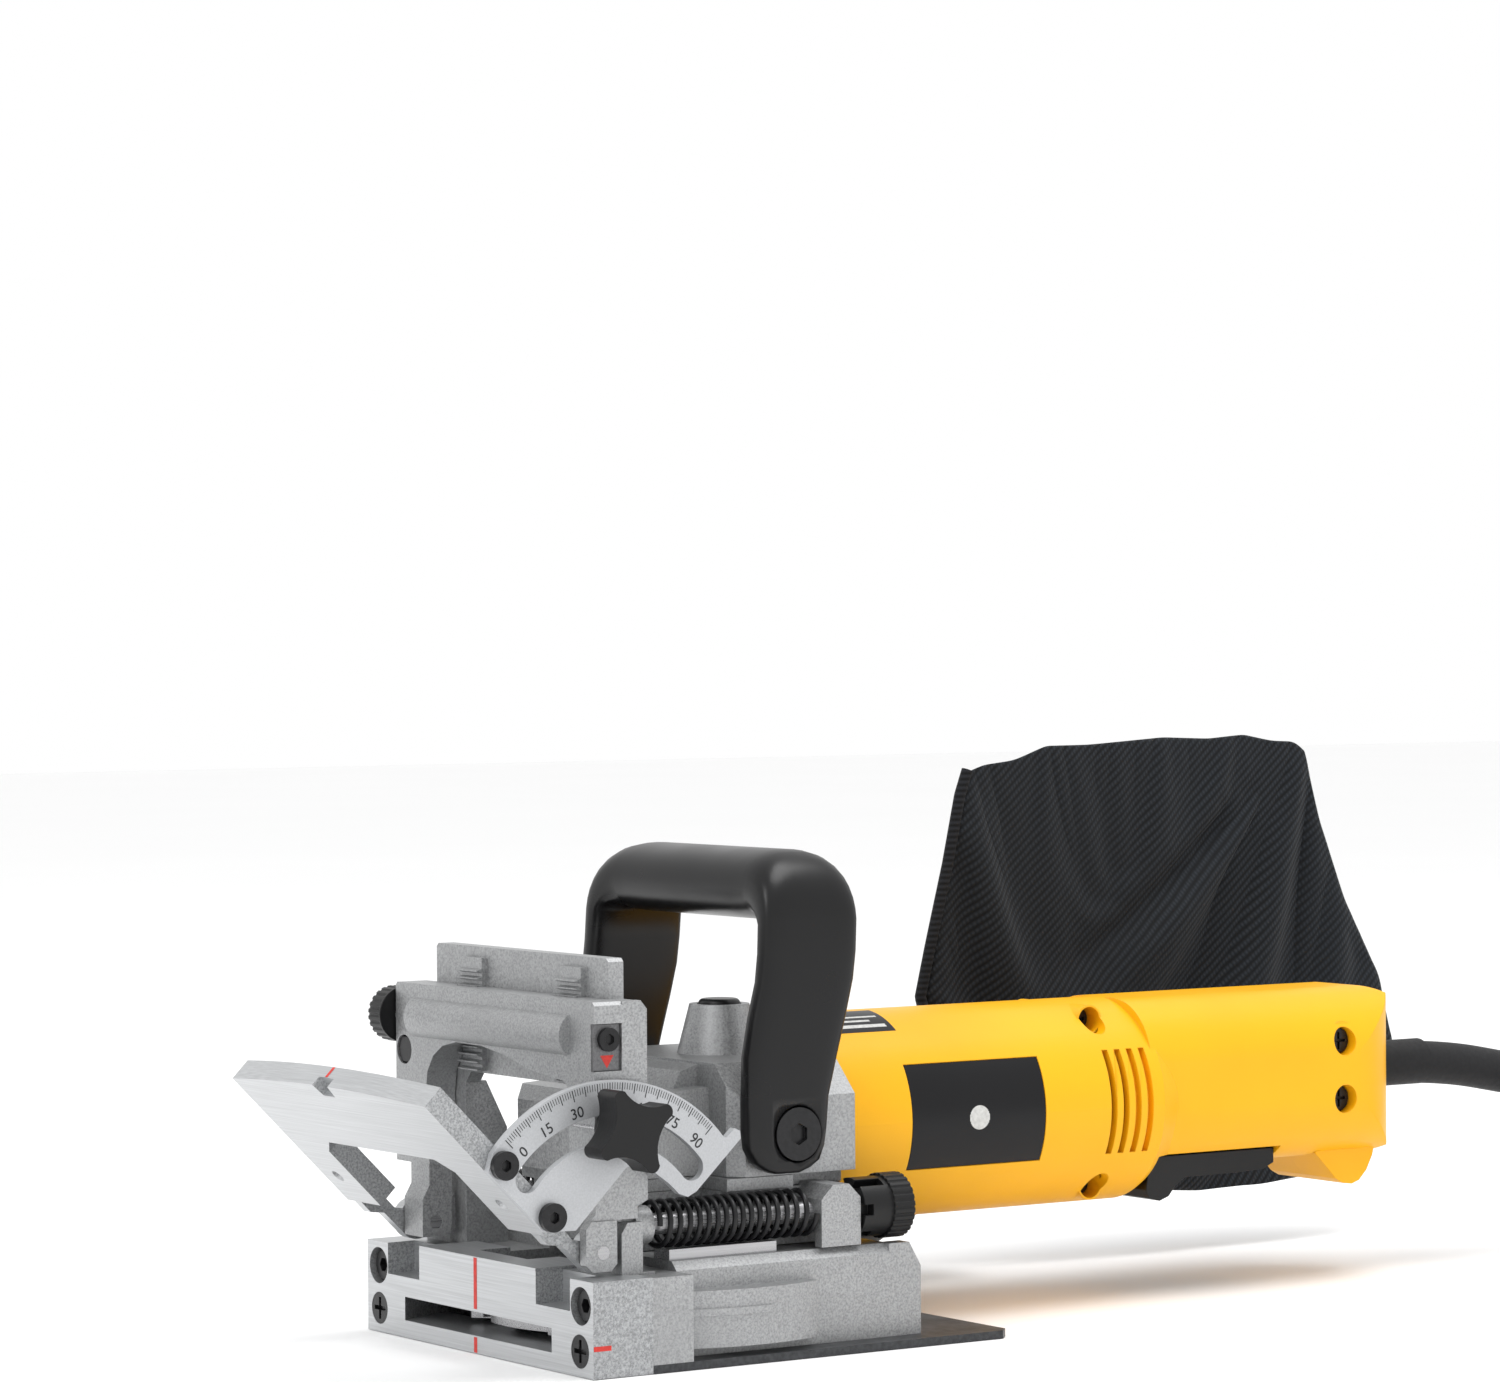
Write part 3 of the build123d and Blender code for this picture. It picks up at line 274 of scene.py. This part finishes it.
def print_ink(name, colour):
    """Screen print or paint in a groove, slightly uneven."""
    f = Finish(name, colour, 0.55)
    f.paint(f.mix(f.remap(f.noise(800.0), 0.35, 0.7), colour, shade(colour, 0.75)))
    f.rough(f.remap(f.noise(300.0), 0.3, 0.7, 0.45, 0.65))
    return f.material


def ribbed_tape(name, colour):
    """Woven binding tape with cross ribs."""
    f = Finish(name, colour, 0.8)
    f.shader.inputs["Specular IOR Level"].default_value = 0.2
    wave = f.add("ShaderNodeTexWave", {"Vector": f.position, "Scale": 170.0, "Distortion": 0.4},
                 bands_direction="Z")
    ribs = wave.outputs["Fac"]
    f.paint(f.mix(ribs, shade(colour, 0.4), shade(colour, 2.4)))
    f.shader.inputs["Sheen Weight"].default_value = 0.04
    f.bump(ribs, 0.15, 0.7)
    return f.material


def moulded_plastic(name, colour, roughness, texture=900.0, depth=0.03, level=0.4):
    """Spark-textured moulding with a little handling gloss."""
    f = Finish(name, colour, roughness)
    f.shader.inputs["Specular IOR Level"].default_value = level
    grain = f.cells(texture)
    handling = f.noise(22.0, 3.0)
    f.paint(f.mix(f.remap(handling, 0.35, 0.75, 0.0, 0.5), colour, shade(colour, 0.86)))
    f.rough(f.remap(handling, 0.3, 0.7, roughness - 0.05, roughness + 0.09))
    f.soften_edges(0.5)
    f.bump(grain, depth, 0.5)
    return f.material


def dark_metal(name, colour, roughness, metallic=0.5):
    """Blackened or painted steel with a faint grain."""
    f = Finish(name, colour, roughness, metallic)
    f.shader.inputs["Specular IOR Level"].default_value = 0.4
    grain = f.noise(700.0, 2.0)
    f.paint(f.mix(f.remap(grain, 0.35, 0.65), shade(colour, 0.8), shade(colour, 1.3)))
    f.rough(f.remap(f.noise(60.0), 0.3, 0.7, roughness - 0.08, roughness + 0.1))
    f.soften_edges(0.25)
    f.bump(grain, 0.02, 0.5)
    return f.material


def twill_fabric(name, colour):
    """Heavy nylon twill: diagonal ribs crossed by the weft."""
    f = Finish(name, colour, 0.82)
    f.shader.inputs["Specular IOR Level"].default_value = 0.2
    f.shader.inputs["Sheen Weight"].default_value = 0.05
    f.shader.inputs["Sheen Roughness"].default_value = 0.5
    rib = f.add("ShaderNodeTexWave", {"Vector": f.stretched((1, 1, 1), (48, 0, 0)), "Scale": 150.0,
                                      "Distortion": 0.5, "Detail": 1.0}, bands_direction="Y")
    weft = f.add("ShaderNodeTexWave", {"Vector": f.stretched((1, 1, 1), (-20, 0, 0)), "Scale": 260.0,
                                       "Distortion": 0.4}, bands_direction="Y")
    weave = f.maths("MULTIPLY", rib.outputs["Fac"], f.remap(weft.outputs["Fac"], 0, 1, 0.55, 1.0))
    wear = f.noise(16.0, 3.0)
    thread = f.mix(weave, shade(colour, 0.35), shade(colour, 2.3))
    f.paint(f.mix(f.remap(wear, 0.35, 0.75, 0.0, 0.35), thread, shade(colour, 1.25)))
    f.bump(weave, 0.35, 0.8)
    return f.material


def rubber(name, colour, roughness=0.6):
    f = Finish(name, colour, roughness)
    f.shader.inputs["Specular IOR Level"].default_value = 0.3
    grain = f.noise(600.0, 2.0)
    f.paint(f.mix(f.remap(f.noise(30.0), 0.3, 0.7), shade(colour, 0.85), shade(colour, 1.2)))
    f.rough(f.remap(grain, 0.3, 0.7, roughness - 0.06, roughness + 0.06))
    f.bump(grain, 0.03, 0.5)
    return f.material


def make_materials():
    """One finish for each of the record's material slots, and a few for single pieces."""
    return {
        "machined_alloy": milled_casting("machined_alloy", (0.50, 0.51, 0.52)),
        "cast_alloy": cast_metal("cast_alloy", (0.37, 0.375, 0.38)),
        "scale_plate_alloy": etched_plate("scale_plate_alloy", (0.47, 0.48, 0.495)),
        "sole_steel": dark_metal("sole_steel", (0.045, 0.047, 0.05), 0.42),
        "black_steel": dark_metal("black_steel", (0.010, 0.010, 0.011), 0.3, 0.25),
        "bright_steel": machined_metal("bright_steel", (0.42, 0.42, 0.43), 1, 0.28),
        "plug_metal": machined_metal("plug_metal", (0.66, 0.60, 0.45), 1, 0.25),
        "yellow_plastic": moulded_plastic("yellow_plastic", (0.90, 0.44, 0.003), 0.38, level=0.3),
        "black_plastic": moulded_plastic("black_plastic", (0.006, 0.006, 0.0065), 0.38, level=0.3),
        "panel_plastic": moulded_plastic("panel_plastic", (0.005, 0.005, 0.006), 0.3, 300.0, 0.005,
                                         level=0.25),
        "bag_fabric": twill_fabric("bag_fabric", (0.0095, 0.0115, 0.0145)),
        "cord_rubber": rubber("cord_rubber", (0.009, 0.009, 0.010)),
        "copper": machined_metal("copper", (0.60, 0.28, 0.14), 1, 0.3),
        "carbon": rubber("carbon", (0.04, 0.04, 0.045), 0.5),
        "handle_plastic": moulded_plastic("handle_plastic", (0.005, 0.005, 0.0055), 0.3, 1300.0, 0.01,
                                          level=0.3),
        "pointer_alloy": cast_metal("pointer_alloy", (0.17, 0.17, 0.175)),
        "piping": ribbed_tape("piping", (0.006, 0.0065, 0.008)),
        "scale_ink": print_ink("scale_ink", (0.02, 0.02, 0.022)),
        "red_paint": print_ink("red_paint", (0.62, 0.03, 0.02)),
        "pale_print": print_ink("pale_print", (0.62, 0.62, 0.6)),
    }


def dress_nodes(finishes):
    """Gives every CAD node the finish of its slot; the pointer plate has a darker one."""
    for part in frame["record"]["subparts"]:
        materials = NODES[part["node"]].data.materials
        materials.clear()
        materials.append(finishes[part["material_slot"]])
    NODES["pointer_plate"].data.materials[0] = finishes["pointer_alloy"]


# --- building helpers --------------------------------------------------------
def add_piece(name, mesh, body, slot, finishes, smooth=True, finish=None):
    """A piece that rides on a body; finish names its look where that is not the slot's own."""
    piece = bpy.data.objects.new(name, mesh)
    bpy.context.scene.collection.objects.link(piece)
    mesh.materials.append(finishes[finish or slot])
    if smooth:
        for polygon in mesh.polygons:
            polygon.use_smooth = True
    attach(piece, body)
    return piece


def loft(rings, closed=True):
    """A mesh through rings of points; the ends are closed with a fan."""
    mesh = bmesh.new()
    loops = [[mesh.verts.new(place) for place in ring] for ring in rings]
    count = len(loops[0])
    for first, second in zip(loops, loops[1:]):
        for index in range(count):
            after = (index + 1) % count
            mesh.faces.new((first[index], first[after], second[after], second[index]))
    if closed:
        for loop in (loops[0][::-1], loops[-1]):
            middle = mesh.verts.new(sum((v.co for v in loop), Vector()) / count)
            for index in range(count):
                mesh.faces.new((loop[index], loop[(index + 1) % count], middle))
    bmesh.ops.recalc_face_normals(mesh, faces=mesh.faces)
    data = bpy.data.meshes.new("loft")
    mesh.to_mesh(data)
    mesh.free()
    return data


def flat_marks(name, faces, body, slot, finishes, finish=None):
    """Printed or painted marks: thin faces that lie just proud of a surface."""
    points = []
    polygons = []
    for face in faces:
        polygons.append(range(len(points), len(points) + len(face)))
        points += face
    mesh = bpy.data.meshes.new(name)
    mesh.from_pydata(points, [], [tuple(p) for p in polygons])
    return add_piece(name, mesh, body, slot, finishes, smooth=False, finish=finish)


def evaluated_mesh(piece):
    graph = bpy.context.evaluated_depsgraph_get()
    return bpy.data.meshes.new_from_object(piece.evaluated_get(graph))


def settle(piece):
    """Applies every modifier of a piece to its mesh."""
    mesh = evaluated_mesh(piece)
    piece.modifiers.clear()
    piece.data = mesh
    for polygon in mesh.polygons:
        polygon.use_smooth = True


# --- bail handle ---------------------------------------------------------------
LEG_X, GRIP_CENTRE_Z = 46.6, 131.8
LEG_STATIONS = [(50.7, 69.5, 78.5), (51.9, 66.2, 82.2), (54.0, 63.2, 85.2), (58.0, 61.0, 87.0),
                (63.0, 60.4, 87.8), (72.0, 60.4, 88.6), (84.0, 60.8, 91.8), (95.0, 62.9, 94.9),
                (105.0, 65.5, 97.4), (113.0, 66.4, 98.4)]      # z, front d, rear d
CORNER_R = 12.5


def handle_ring(centre, outward, half_width, half_thick, power):
    """An oval section: wide along Y, thin along the outward direction."""
    ring = []
    for step in range(36):
        angle = 2 * math.pi * step / 36
        c, n = math.cos(angle), math.sin(angle)
        along = math.copysign(abs(c) ** (2 / power), c) * half_width
        out = math.copysign(abs(n) ** (2 / power), n) * half_thick
        ring.append(at(centre[0] + outward[0] * out, centre[1] + along, centre[2] + outward[1] * out))
    return ring


def make_handle(finishes):
    half = []
    for z, front, rear in LEG_STATIONS:
        thick = 3.4 if z > 52 else 2.9
        half.append(((LEG_X, (front + rear) / 2, z), (1, 0), (rear - front) / 2, thick, 4.5))
    for step in range(1, 9):
        angle = math.radians(90 * step / 8)
        share = step / 8
        blend = share * share * (3 - 2 * share)
        centre = (LEG_X - CORNER_R + CORNER_R * math.cos(angle), 82.8 + 0.6 * share,
                  GRIP_CENTRE_Z - CORNER_R + CORNER_R * math.sin(angle))
        half.append((centre, (math.cos(angle), math.sin(angle)), 16.0 - 0.6 * blend, 3.4 + 6.8 * blend,
                     4.5 - 2.2 * blend))
    for x in (28, 20, 10, 0):
        half.append(((x, 83.4, GRIP_CENTRE_Z), (0, 1), 15.4, 10.2, 2.3))
    rings = [handle_ring(*station) for station in half]
    for centre, outward, width, thick, power in half[-2::-1]:
        mirrored = ((-centre[0], centre[1], centre[2]), (-outward[0], outward[1]), width, thick, power)
        rings.append(handle_ring(*mirrored))
    handle = add_piece("bail_handle", loft(rings), "carriage", "black_plastic", finishes,
                       finish="handle_plastic")
    for side in (-1, 1):
        cutter = drum("cutter", (side * 48.4, 77, 61.7), (side * 52, 77, 61.7), 8.2)
        bore = handle.modifiers.new("recess", "BOOLEAN")
        bore.operation = "DIFFERENCE"
        bore.object = cutter
        settle(handle)
        bpy.data.objects.remove(cutter)
    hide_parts("top_handle")


def drum(name, start, end, radius, sides=48):
    """A capped round bar between two points, in mm."""
    first, last = at(*start), at(*end)
    axis = (last - first).normalized()
    across = axis.orthogonal().normalized()
    other = axis.cross(across)
    rings = []
    for centre in (first, last):
        ring = []
        for index in range(sides):
            angle = 2 * math.pi * index / sides
            ring.append(centre + (across * math.cos(angle) + other * math.sin(angle)) * radius * MM)
        rings.append(ring)
    mesh = loft(rings)
    piece = bpy.data.objects.new(name, mesh)
    bpy.context.scene.collection.objects.link(piece)
    return piece


# --- scale, marks and labels -----------------------------------------------------
PIVOT_D, PIVOT_Z = 9.0, 33.2
SCALE_X = 58.03
TICK_END_R, NUMERAL_R = 47.4, 40.8


def dial(radius, degrees, x=SCALE_X):
    """A point on the quadrant's face: degrees of its scale, at rest."""
    angle = math.radians(degrees - 45.0)
    return at(x, PIVOT_D + radius * math.sin(angle), PIVOT_Z + radius * math.cos(angle))


def make_scale(finishes):
    ticks = []
    for degree in range(0, 91):
        length = 3.3 if degree % 15 == 0 else 2.8 if degree % 5 == 0 else 1.9
        half = 0.16 if degree % 5 == 0 else 0.11
        turn = math.degrees(half / 47.0)
        inner, outer = TICK_END_R - length, TICK_END_R
        ticks.append([dial(inner, degree - turn), dial(inner, degree + turn), dial(outer, degree + turn),
                      dial(outer, degree - turn)])
    flat_marks("scale_ticks", ticks, "fence", "scale_plate_alloy", finishes, "scale_ink")
    for degree in range(0, 91, 15):
        curve = bpy.data.curves.new(f"numeral_{degree}", "FONT")
        curve.body = str(degree)
        curve.size = 4.3 * MM
        curve.align_x = "CENTER"
        curve.align_y = "CENTER"
        curve.offset = 0.00004
        text = bpy.data.objects.new(f"numeral_{degree}", curve)
        bpy.context.scene.collection.objects.link(text)
        shift = 2.2 if degree == 0 else -1.5 if degree == 90 else 0
        centre = dial(NUMERAL_R, degree + shift)
        up = (centre - dial(0, 0)).normalized()
        right = up.cross(Vector((1, 0, 0)))
        turn = Matrix((right, up, Vector((1, 0, 0)))).transposed().to_4x4()
        mesh = evaluated_mesh(text)
        bpy.data.objects.remove(text)
        mesh.transform(Matrix.Translation(centre) @ turn)
        mesh.materials.clear()
        add_piece(f"numeral_{degree}", mesh, "fence", "scale_plate_alloy", finishes, smooth=False,
                  finish="scale_ink")


def panel(corner_low, corner_high, fixed, value):
    """A rectangle in mm on a plane of constant x or d."""
    (a0, b0), (a1, b1) = corner_low, corner_high
    pairs = [(a0, b0), (a1, b0), (a1, b1), (a0, b1)]
    if fixed == "x":
        return [at(value, a, b) for a, b in pairs]
    return [at(a, value, b) for a, b in pairs]


def make_marks(finishes):
    """The red register marks."""
    centre = [panel((-1.5, 12.6), (0.3, 27.2), "d", -0.04), panel((-1.5, 0.2), (0.3, 4.6), "d", -0.04)]
    flat_marks("centre_line", centre, "base", "machined_alloy", finishes, "red_paint")
    depth = [panel((0.1, 7.6), (5.8, 9.0), "x", 63.04)]
    flat_marks("depth_line", depth, "base", "machined_alloy", finishes, "red_paint")
    triangle = [[at(52.65, 9.2, 87.6), at(52.65, 13.6, 87.6), at(52.65, 11.4, 84.0)]]
    flat_marks("angle_arrow", triangle, "carriage", "machined_alloy", finishes, "red_paint")
    lean = math.radians(45.0)
    across = []
    for u, n in ((74.04, 6.3), (74.04, 2.6)):
        d = PIVOT_D - u * math.sin(lean) - n * math.cos(lean)
        z = PIVOT_Z + u * math.cos(lean) - n * math.sin(lean)
        across.append((at(-1.0, d, z), at(0.4, d, z)))
    faces = [[a[0], a[1], b[1], b[0]] for a, b in zip(across, across[1:])]
    flat_marks("fence_centre_line", faces, "fence", "machined_alloy", finishes, "red_paint")


PANEL_R, PLATE_R = 31.16, 31.24       # radii of the prints on the motor body
DISC_D, DISC_R, DISC_SPREAD = 154.5, 3.6, 6.6      # middle and radius in mm, half height in degrees
DISC_STRIPS = 24


def curved_patch(radius, d_range, angle_range, steps=24, centre_z=60.5):
    """A patch that lies on the round of the motor body; angles in degrees up from +X."""
    faces = []
    for index in range(steps):
        a0 = math.radians(angle_range[0] + (angle_range[1] - angle_range[0]) * index / steps)
        a1 = math.radians(angle_range[0] + (angle_range[1] - angle_range[0]) * (index + 1) / steps)
        faces.append([at(radius * math.cos(a), d, centre_z + radius * math.sin(a))
                      for a, d in ((a0, d_range[0]), (a0, d_range[1]), (a1, d_range[1]), (a1, d_range[0]))])
    return faces


def make_labels(finishes):
    """A plain disc on each side panel, and a plate with plain lines on top of the motor."""
    for side, name in ((-1, "left"), (1, "right")):
        faces = []
        for step in range(DISC_STRIPS):
            low = -1 + step * 2 / DISC_STRIPS
            high = low + 2 / DISC_STRIPS
            half = DISC_SPREAD * math.sqrt(1 - ((low + high) / 2) ** 2)
            angles = (-half, half) if side > 0 else (180 - half, 180 + half)
            faces += curved_patch(PANEL_R, (DISC_D + DISC_R * low, DISC_D + DISC_R * high), angles, 6)
        flat_marks(f"panel_disc_{name}", faces, "motor_slide", "panel_plastic", finishes, "pale_print")
    plate = curved_patch(PLATE_R, (112, 134), (56, 84))
    flat_marks("top_label", plate, "motor_slide", "panel_plastic", finishes)
    lines = []
    for low, high, d0, d1 in ((60, 63, 114, 132), (66, 68, 114, 128), (71, 73, 114, 132), (76, 80, 114, 121)):
        lines += curved_patch(PLATE_R + 0.04, (d0, d1), (low, high), 4)
    flat_marks("top_label_lines", lines, "motor_slide", "panel_plastic", finishes, "pale_print")


# --- dust bag --------------------------------------------------------------------
BAG_X = -73.0
BAG_LEFT = [(252, 31), (229, 46), (214, 64), (207, 88), (211, 104), (218, 130), (223, 152), (226, 160)]
BAG_TOP = [(226, 160), (233, 162.5), (245, 164), (258, 168.6), (275, 168.8), (306, 170.8), (325, 170),
           (340, 171), (352, 168.6), (362, 168), (367, 164)]
BAG_RIGHT = [(378, 24), (391, 27), (401, 38), (406, 64), (400, 88), (385, 113), (374, 140), (367, 164)]
BAG_BOTTOM = [(252, 31), (300, 25), (340, 23.5), (378, 24)]
BAG_GRID = 56


def walk(points, count):
    """Evenly spaced points along a polyline."""
    spans = [math.dist(a, b) for a, b in zip(points, points[1:])]
    total = sum(spans)
    found = []
    for index in range(count + 1):
        left = total * index / count
        place = points[-1]
        for (a, b), span in zip(zip(points, points[1:]), spans):
            if left <= span + 1e-9:
                place = (a[0] + (b[0] - a[0]) * left / span, a[1] + (b[1] - a[1]) * left / span)
                break
            left -= span
        found.append(place)
    return found


def bag_sheet():
    """The flat (d, z) grid between the bag's four edges."""
    n = BAG_GRID
    left, right = walk(BAG_LEFT, n), walk(BAG_RIGHT, n)
    bottom, top = walk(BAG_BOTTOM, n), walk(BAG_TOP, n)
    grid = []
    for j in range(n + 1):
        v = j / n
        row = []
        for i in range(n + 1):
            u = i / n
            point = []
            for k in (0, 1):
                sides = (1 - u) * left[j][k] + u * right[j][k] + (1 - v) * bottom[i][k] + v * top[i][k]
                corners = ((1 - u) * (1 - v) * bottom[0][k] + u * (1 - v) * bottom[n][k]
                           + (1 - u) * v * top[0][k] + u * v * top[n][k])
                point.append(sides - corners)
            row.append(point)
        grid.append(row)
    return grid


def bag_fold(d, z, side):
    """The long creases that fan from the rear top corner, and broad slack dents, in mm."""
    if side < 0:
        return 2.5 * noise.noise(Vector((d * 0.02, z * 0.02, 4.2)))
    reach = math.hypot(d - 372, z - 172)
    angle = math.degrees(math.atan2(172 - z, 372 - d))
    depth = 0
    for middle, width, size in ((34, 3.2, -6.5), (40, 3.6, 4.0), (48, 3.0, -2.4), (22, 8, 3.0), (66, 9, 2.4)):
        depth += size * math.exp(-((angle - middle) / width) ** 2)
    return depth * min(1.0, reach / 50) + 1.8 * noise.noise(Vector((d * 0.025, z * 0.025, 1.7)))


def bag_mesh():
    """Two panels that share their rim; returns the mesh and the rim's indices."""
    n = BAG_GRID
    grid = bag_sheet()
    mesh = bmesh.new()
    rim = {}
    faces = []
    for side in (-1, 1):
        verts = []
        for j in range(n + 1):
            row = []
            for i in range(n + 1):
                u, v = i / n, j / n
                edge = i in (0, n) or j in (0, n)
                if edge and (i, j) in rim:
                    row.append(rim[(i, j)])
                    continue
                d, z = grid[j][i]
                swell = (4 * u * (1 - u)) ** 0.5 * (4 * v * (1 - v)) ** 0.42 * (11.0 + 6.0 * (1 - v))
                fold = bag_fold(d, z, side) * min(1.0, 10 * u * (1 - u) * 4 * v * (1 - v))
                vert = mesh.verts.new(at(BAG_X + side * (swell + (0 if edge else fold)), d, z))
                if edge:
                    rim[(i, j)] = vert
                row.append(vert)
            verts.append(row)
        for j in range(n):
            for i in range(n):
                corners = (verts[j][i], verts[j][i + 1], verts[j + 1][i + 1], verts[j + 1][i])
                faces.append(mesh.faces.new(corners))
    bmesh.ops.recalc_face_normals(mesh, faces=mesh.faces)
    data = bpy.data.meshes.new("dust_bag_cloth")
    mesh.verts.index_update()
    held = [rim[key].index for key in rim]
    mesh.to_mesh(data)
    mesh.free()
    return data, held


def drape(piece, held, frames):
    """Lets the cloth crease under slight pressure and its own weight, then applies the result."""
    group = piece.vertex_groups.new(name="seam")
    group.add(held, 1.0, "REPLACE")
    cloth = piece.modifiers.new("cloth", "CLOTH")
    settings = cloth.settings
    settings.quality = 7
    settings.mass = 0.25
    settings.tension_stiffness = 18
    settings.compression_stiffness = 12
    settings.shear_stiffness = 6
    settings.bending_stiffness = 6.0
    settings.vertex_group_mass = "seam"
    settings.shrink_min = -0.018
    settings.use_pressure = True
    settings.uniform_pressure_force = 1.6
    cloth.collision_settings.use_self_collision = False
    cloth.point_cache.frame_start = 1
    cloth.point_cache.frame_end = frames
    scene = bpy.context.scene
    for frame_number in range(1, frames + 1):
        scene.frame_set(frame_number)
    mesh = evaluated_mesh(piece)
    piece.modifiers.clear()
    piece.vertex_groups.clear()
    piece.data = mesh
    scene.frame_set(1)


def tube_along(name, points, radius, body, slot, finishes, finish=None):
    """A thin tube through points in metres, as a mesh; the radius is in mm."""
    data = bpy.data.curves.new(name, "CURVE")
    data.dimensions = "3D"
    data.bevel_depth = radius * MM
    data.bevel_resolution = 3
    data.use_fill_caps = True
    spline = data.splines.new("POLY")
    spline.points.add(len(points) - 1)
    for point, place in zip(spline.points, points):
        point.co = (*place, 1)
    curve = bpy.data.objects.new(name, data)
    bpy.context.scene.collection.objects.link(curve)
    mesh = evaluated_mesh(curve)
    bpy.data.objects.remove(curve)
    mesh.materials.clear()
    return add_piece(name, mesh, body, slot, finishes, finish=finish)


def stitches(finishes):
    """A run of short thread bars beside the hem."""
    mesh = bmesh.new()
    for d, z in walk([(262, 33), (300, 28.5), (340, 27), (374, 27.5)], 44):
        verts = bmesh.ops.create_uvsphere(mesh, u_segments=8, v_segments=5, radius=0.35 * MM)["verts"]
        bmesh.ops.scale(mesh, vec=(1.0, 2.6, 0.8), verts=verts)
        bmesh.ops.translate(mesh, vec=at(BAG_X + 3.2, d, z), verts=verts)
    data = bpy.data.meshes.new("hem_stitches")
    mesh.to_mesh(data)
    mesh.free()
    add_piece("hem_stitches", data, "base", "bag_fabric", finishes, finish="piping")


def make_bag(finishes):
    mesh, held = bag_mesh()
    bag = add_piece("bag_cloth", mesh, "base", "bag_fabric", finishes)
    drape(bag, held, 24)
    smooth = bag.modifiers.new("finer", "SUBSURF")
    smooth.levels = smooth.render_levels = 1
    settle(bag)
    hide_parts("dust_bag")
    for name, line, radius in (("seam_front", BAG_LEFT, 1.9), ("seam_hem", BAG_BOTTOM, 1.5)):
        points = [at(BAG_X + 0.4, d, z) for d, z in walk(line, 3 * BAG_GRID)]
        tube_along(name, points, radius, "base", "bag_fabric", finishes, "piping")
    stitches(finishes)


# --- plunge springs --------------------------------------------------------------
SPRING_D = (27.2, 81.8)
SPRING_X, SPRING_Z, SPRING_R = 47.0, 39.2, 6.2
SPRING_COILS, SPRING_TRAVEL = 17, 26.0


def make_springs(finishes):
    """Helices of slightly uneven pitch, fixed on the base."""
    front, rear = SPRING_D
    steps = 40 * SPRING_COILS
    for side, name in ((-1, "spring_left"), (1, "spring_right")):
        points = []
        for step in range(steps + 1):
            share = step / steps
            turn = share * SPRING_COILS
            ends = min(1.0, turn / 1.5, (SPRING_COILS - turn) / 1.5)
            eased = share + 0.028 * math.sin(2 * math.pi * share) * (1 - ends * 0.4)
            d = front + 0.9 + (rear - front - 1.8) * min(1.0, max(0.0, eased))
            angle = 2 * math.pi * turn
            points.append(at(side * SPRING_X + SPRING_R * math.cos(angle), d,
                             SPRING_Z + SPRING_R * math.sin(angle)))
        coil = tube_along(f"plunge_{name}", points, 0.82, "base", "black_steel", finishes)
        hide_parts(name)
        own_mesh(coil)


# --- cord --------------------------------------------------------------------
CORD_DIAMETER = 0.008
CORD_ROUTE = [(0, 388, 59.6), (0.3, 402, 55.5), (1.2, 414, 47.6), (3, 424, 36.5), (5.2, 433, 24.5),
              (8, 443, 13.5), (11, 455, 6.6), (13.2, 467, 4.5), (13.9, 475, 4.4)]
COIL_CENTRE = (66.0, 492.0)
COIL_RADII = (52.0, 44.0, 36.0)
COIL_LAYERS = 3


def coil_points():
    """Turns wound inward, then up a layer and outward, a diameter apart, in mm."""
    per_turn = 16
    points = []
    radii = []
    for layer in range(COIL_LAYERS):
        order = COIL_RADII if layer % 2 == 0 else COIL_RADII[::-1]
        radii += [(radius, 4.4 + 8.05 * layer) for radius in order]
    for index, (radius, height) in enumerate(radii):
        after = radii[min(index + 1, len(radii) - 1)]
        for step in range(per_turn):
            share = max(0.0, (step - per_turn * 0.6) / (per_turn * 0.4))
            r = radius + (after[0] - radius) * share
            z = height + (after[1] - height) * share
            angle = math.pi - 2 * math.pi * step / per_turn
            points.append((COIL_CENTRE[0] + r * math.cos(angle), COIL_CENTRE[1] + r * math.sin(angle), z))
    return points


def make_cord(finishes):
    points = CORD_ROUTE + coil_points()
    data = bpy.data.curves.new("power_cord", "CURVE")
    data.dimensions = "3D"
    data.bevel_depth = CORD_DIAMETER / 2
    data.bevel_resolution = 6
    data.resolution_u = 8
    data.use_fill_caps = True
    spline = data.splines.new("NURBS")
    spline.points.add(len(points) - 1)
    for point, place in zip(spline.points, points):
        point.co = (*at(*place), 1)
    spline.order_u = 3
    spline.use_endpoint_u = True
    piece = bpy.data.objects.new("power_cord", data)
    bpy.context.scene.collection.objects.link(piece)
    data.materials.append(finishes["cord_rubber"])
    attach(piece, "motor_slide")
    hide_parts("cord", "cord_coil")


# --- scene -------------------------------------------------------------------
def build():
    make_camera()
    make_studio()
    make_floor()
    finishes = make_materials()
    dress_nodes(finishes)
    make_handle(finishes)
    make_scale(finishes)
    make_marks(finishes)
    make_labels(finishes)
    make_bag(finishes)
    make_springs(finishes)
    make_cord(finishes)


build()
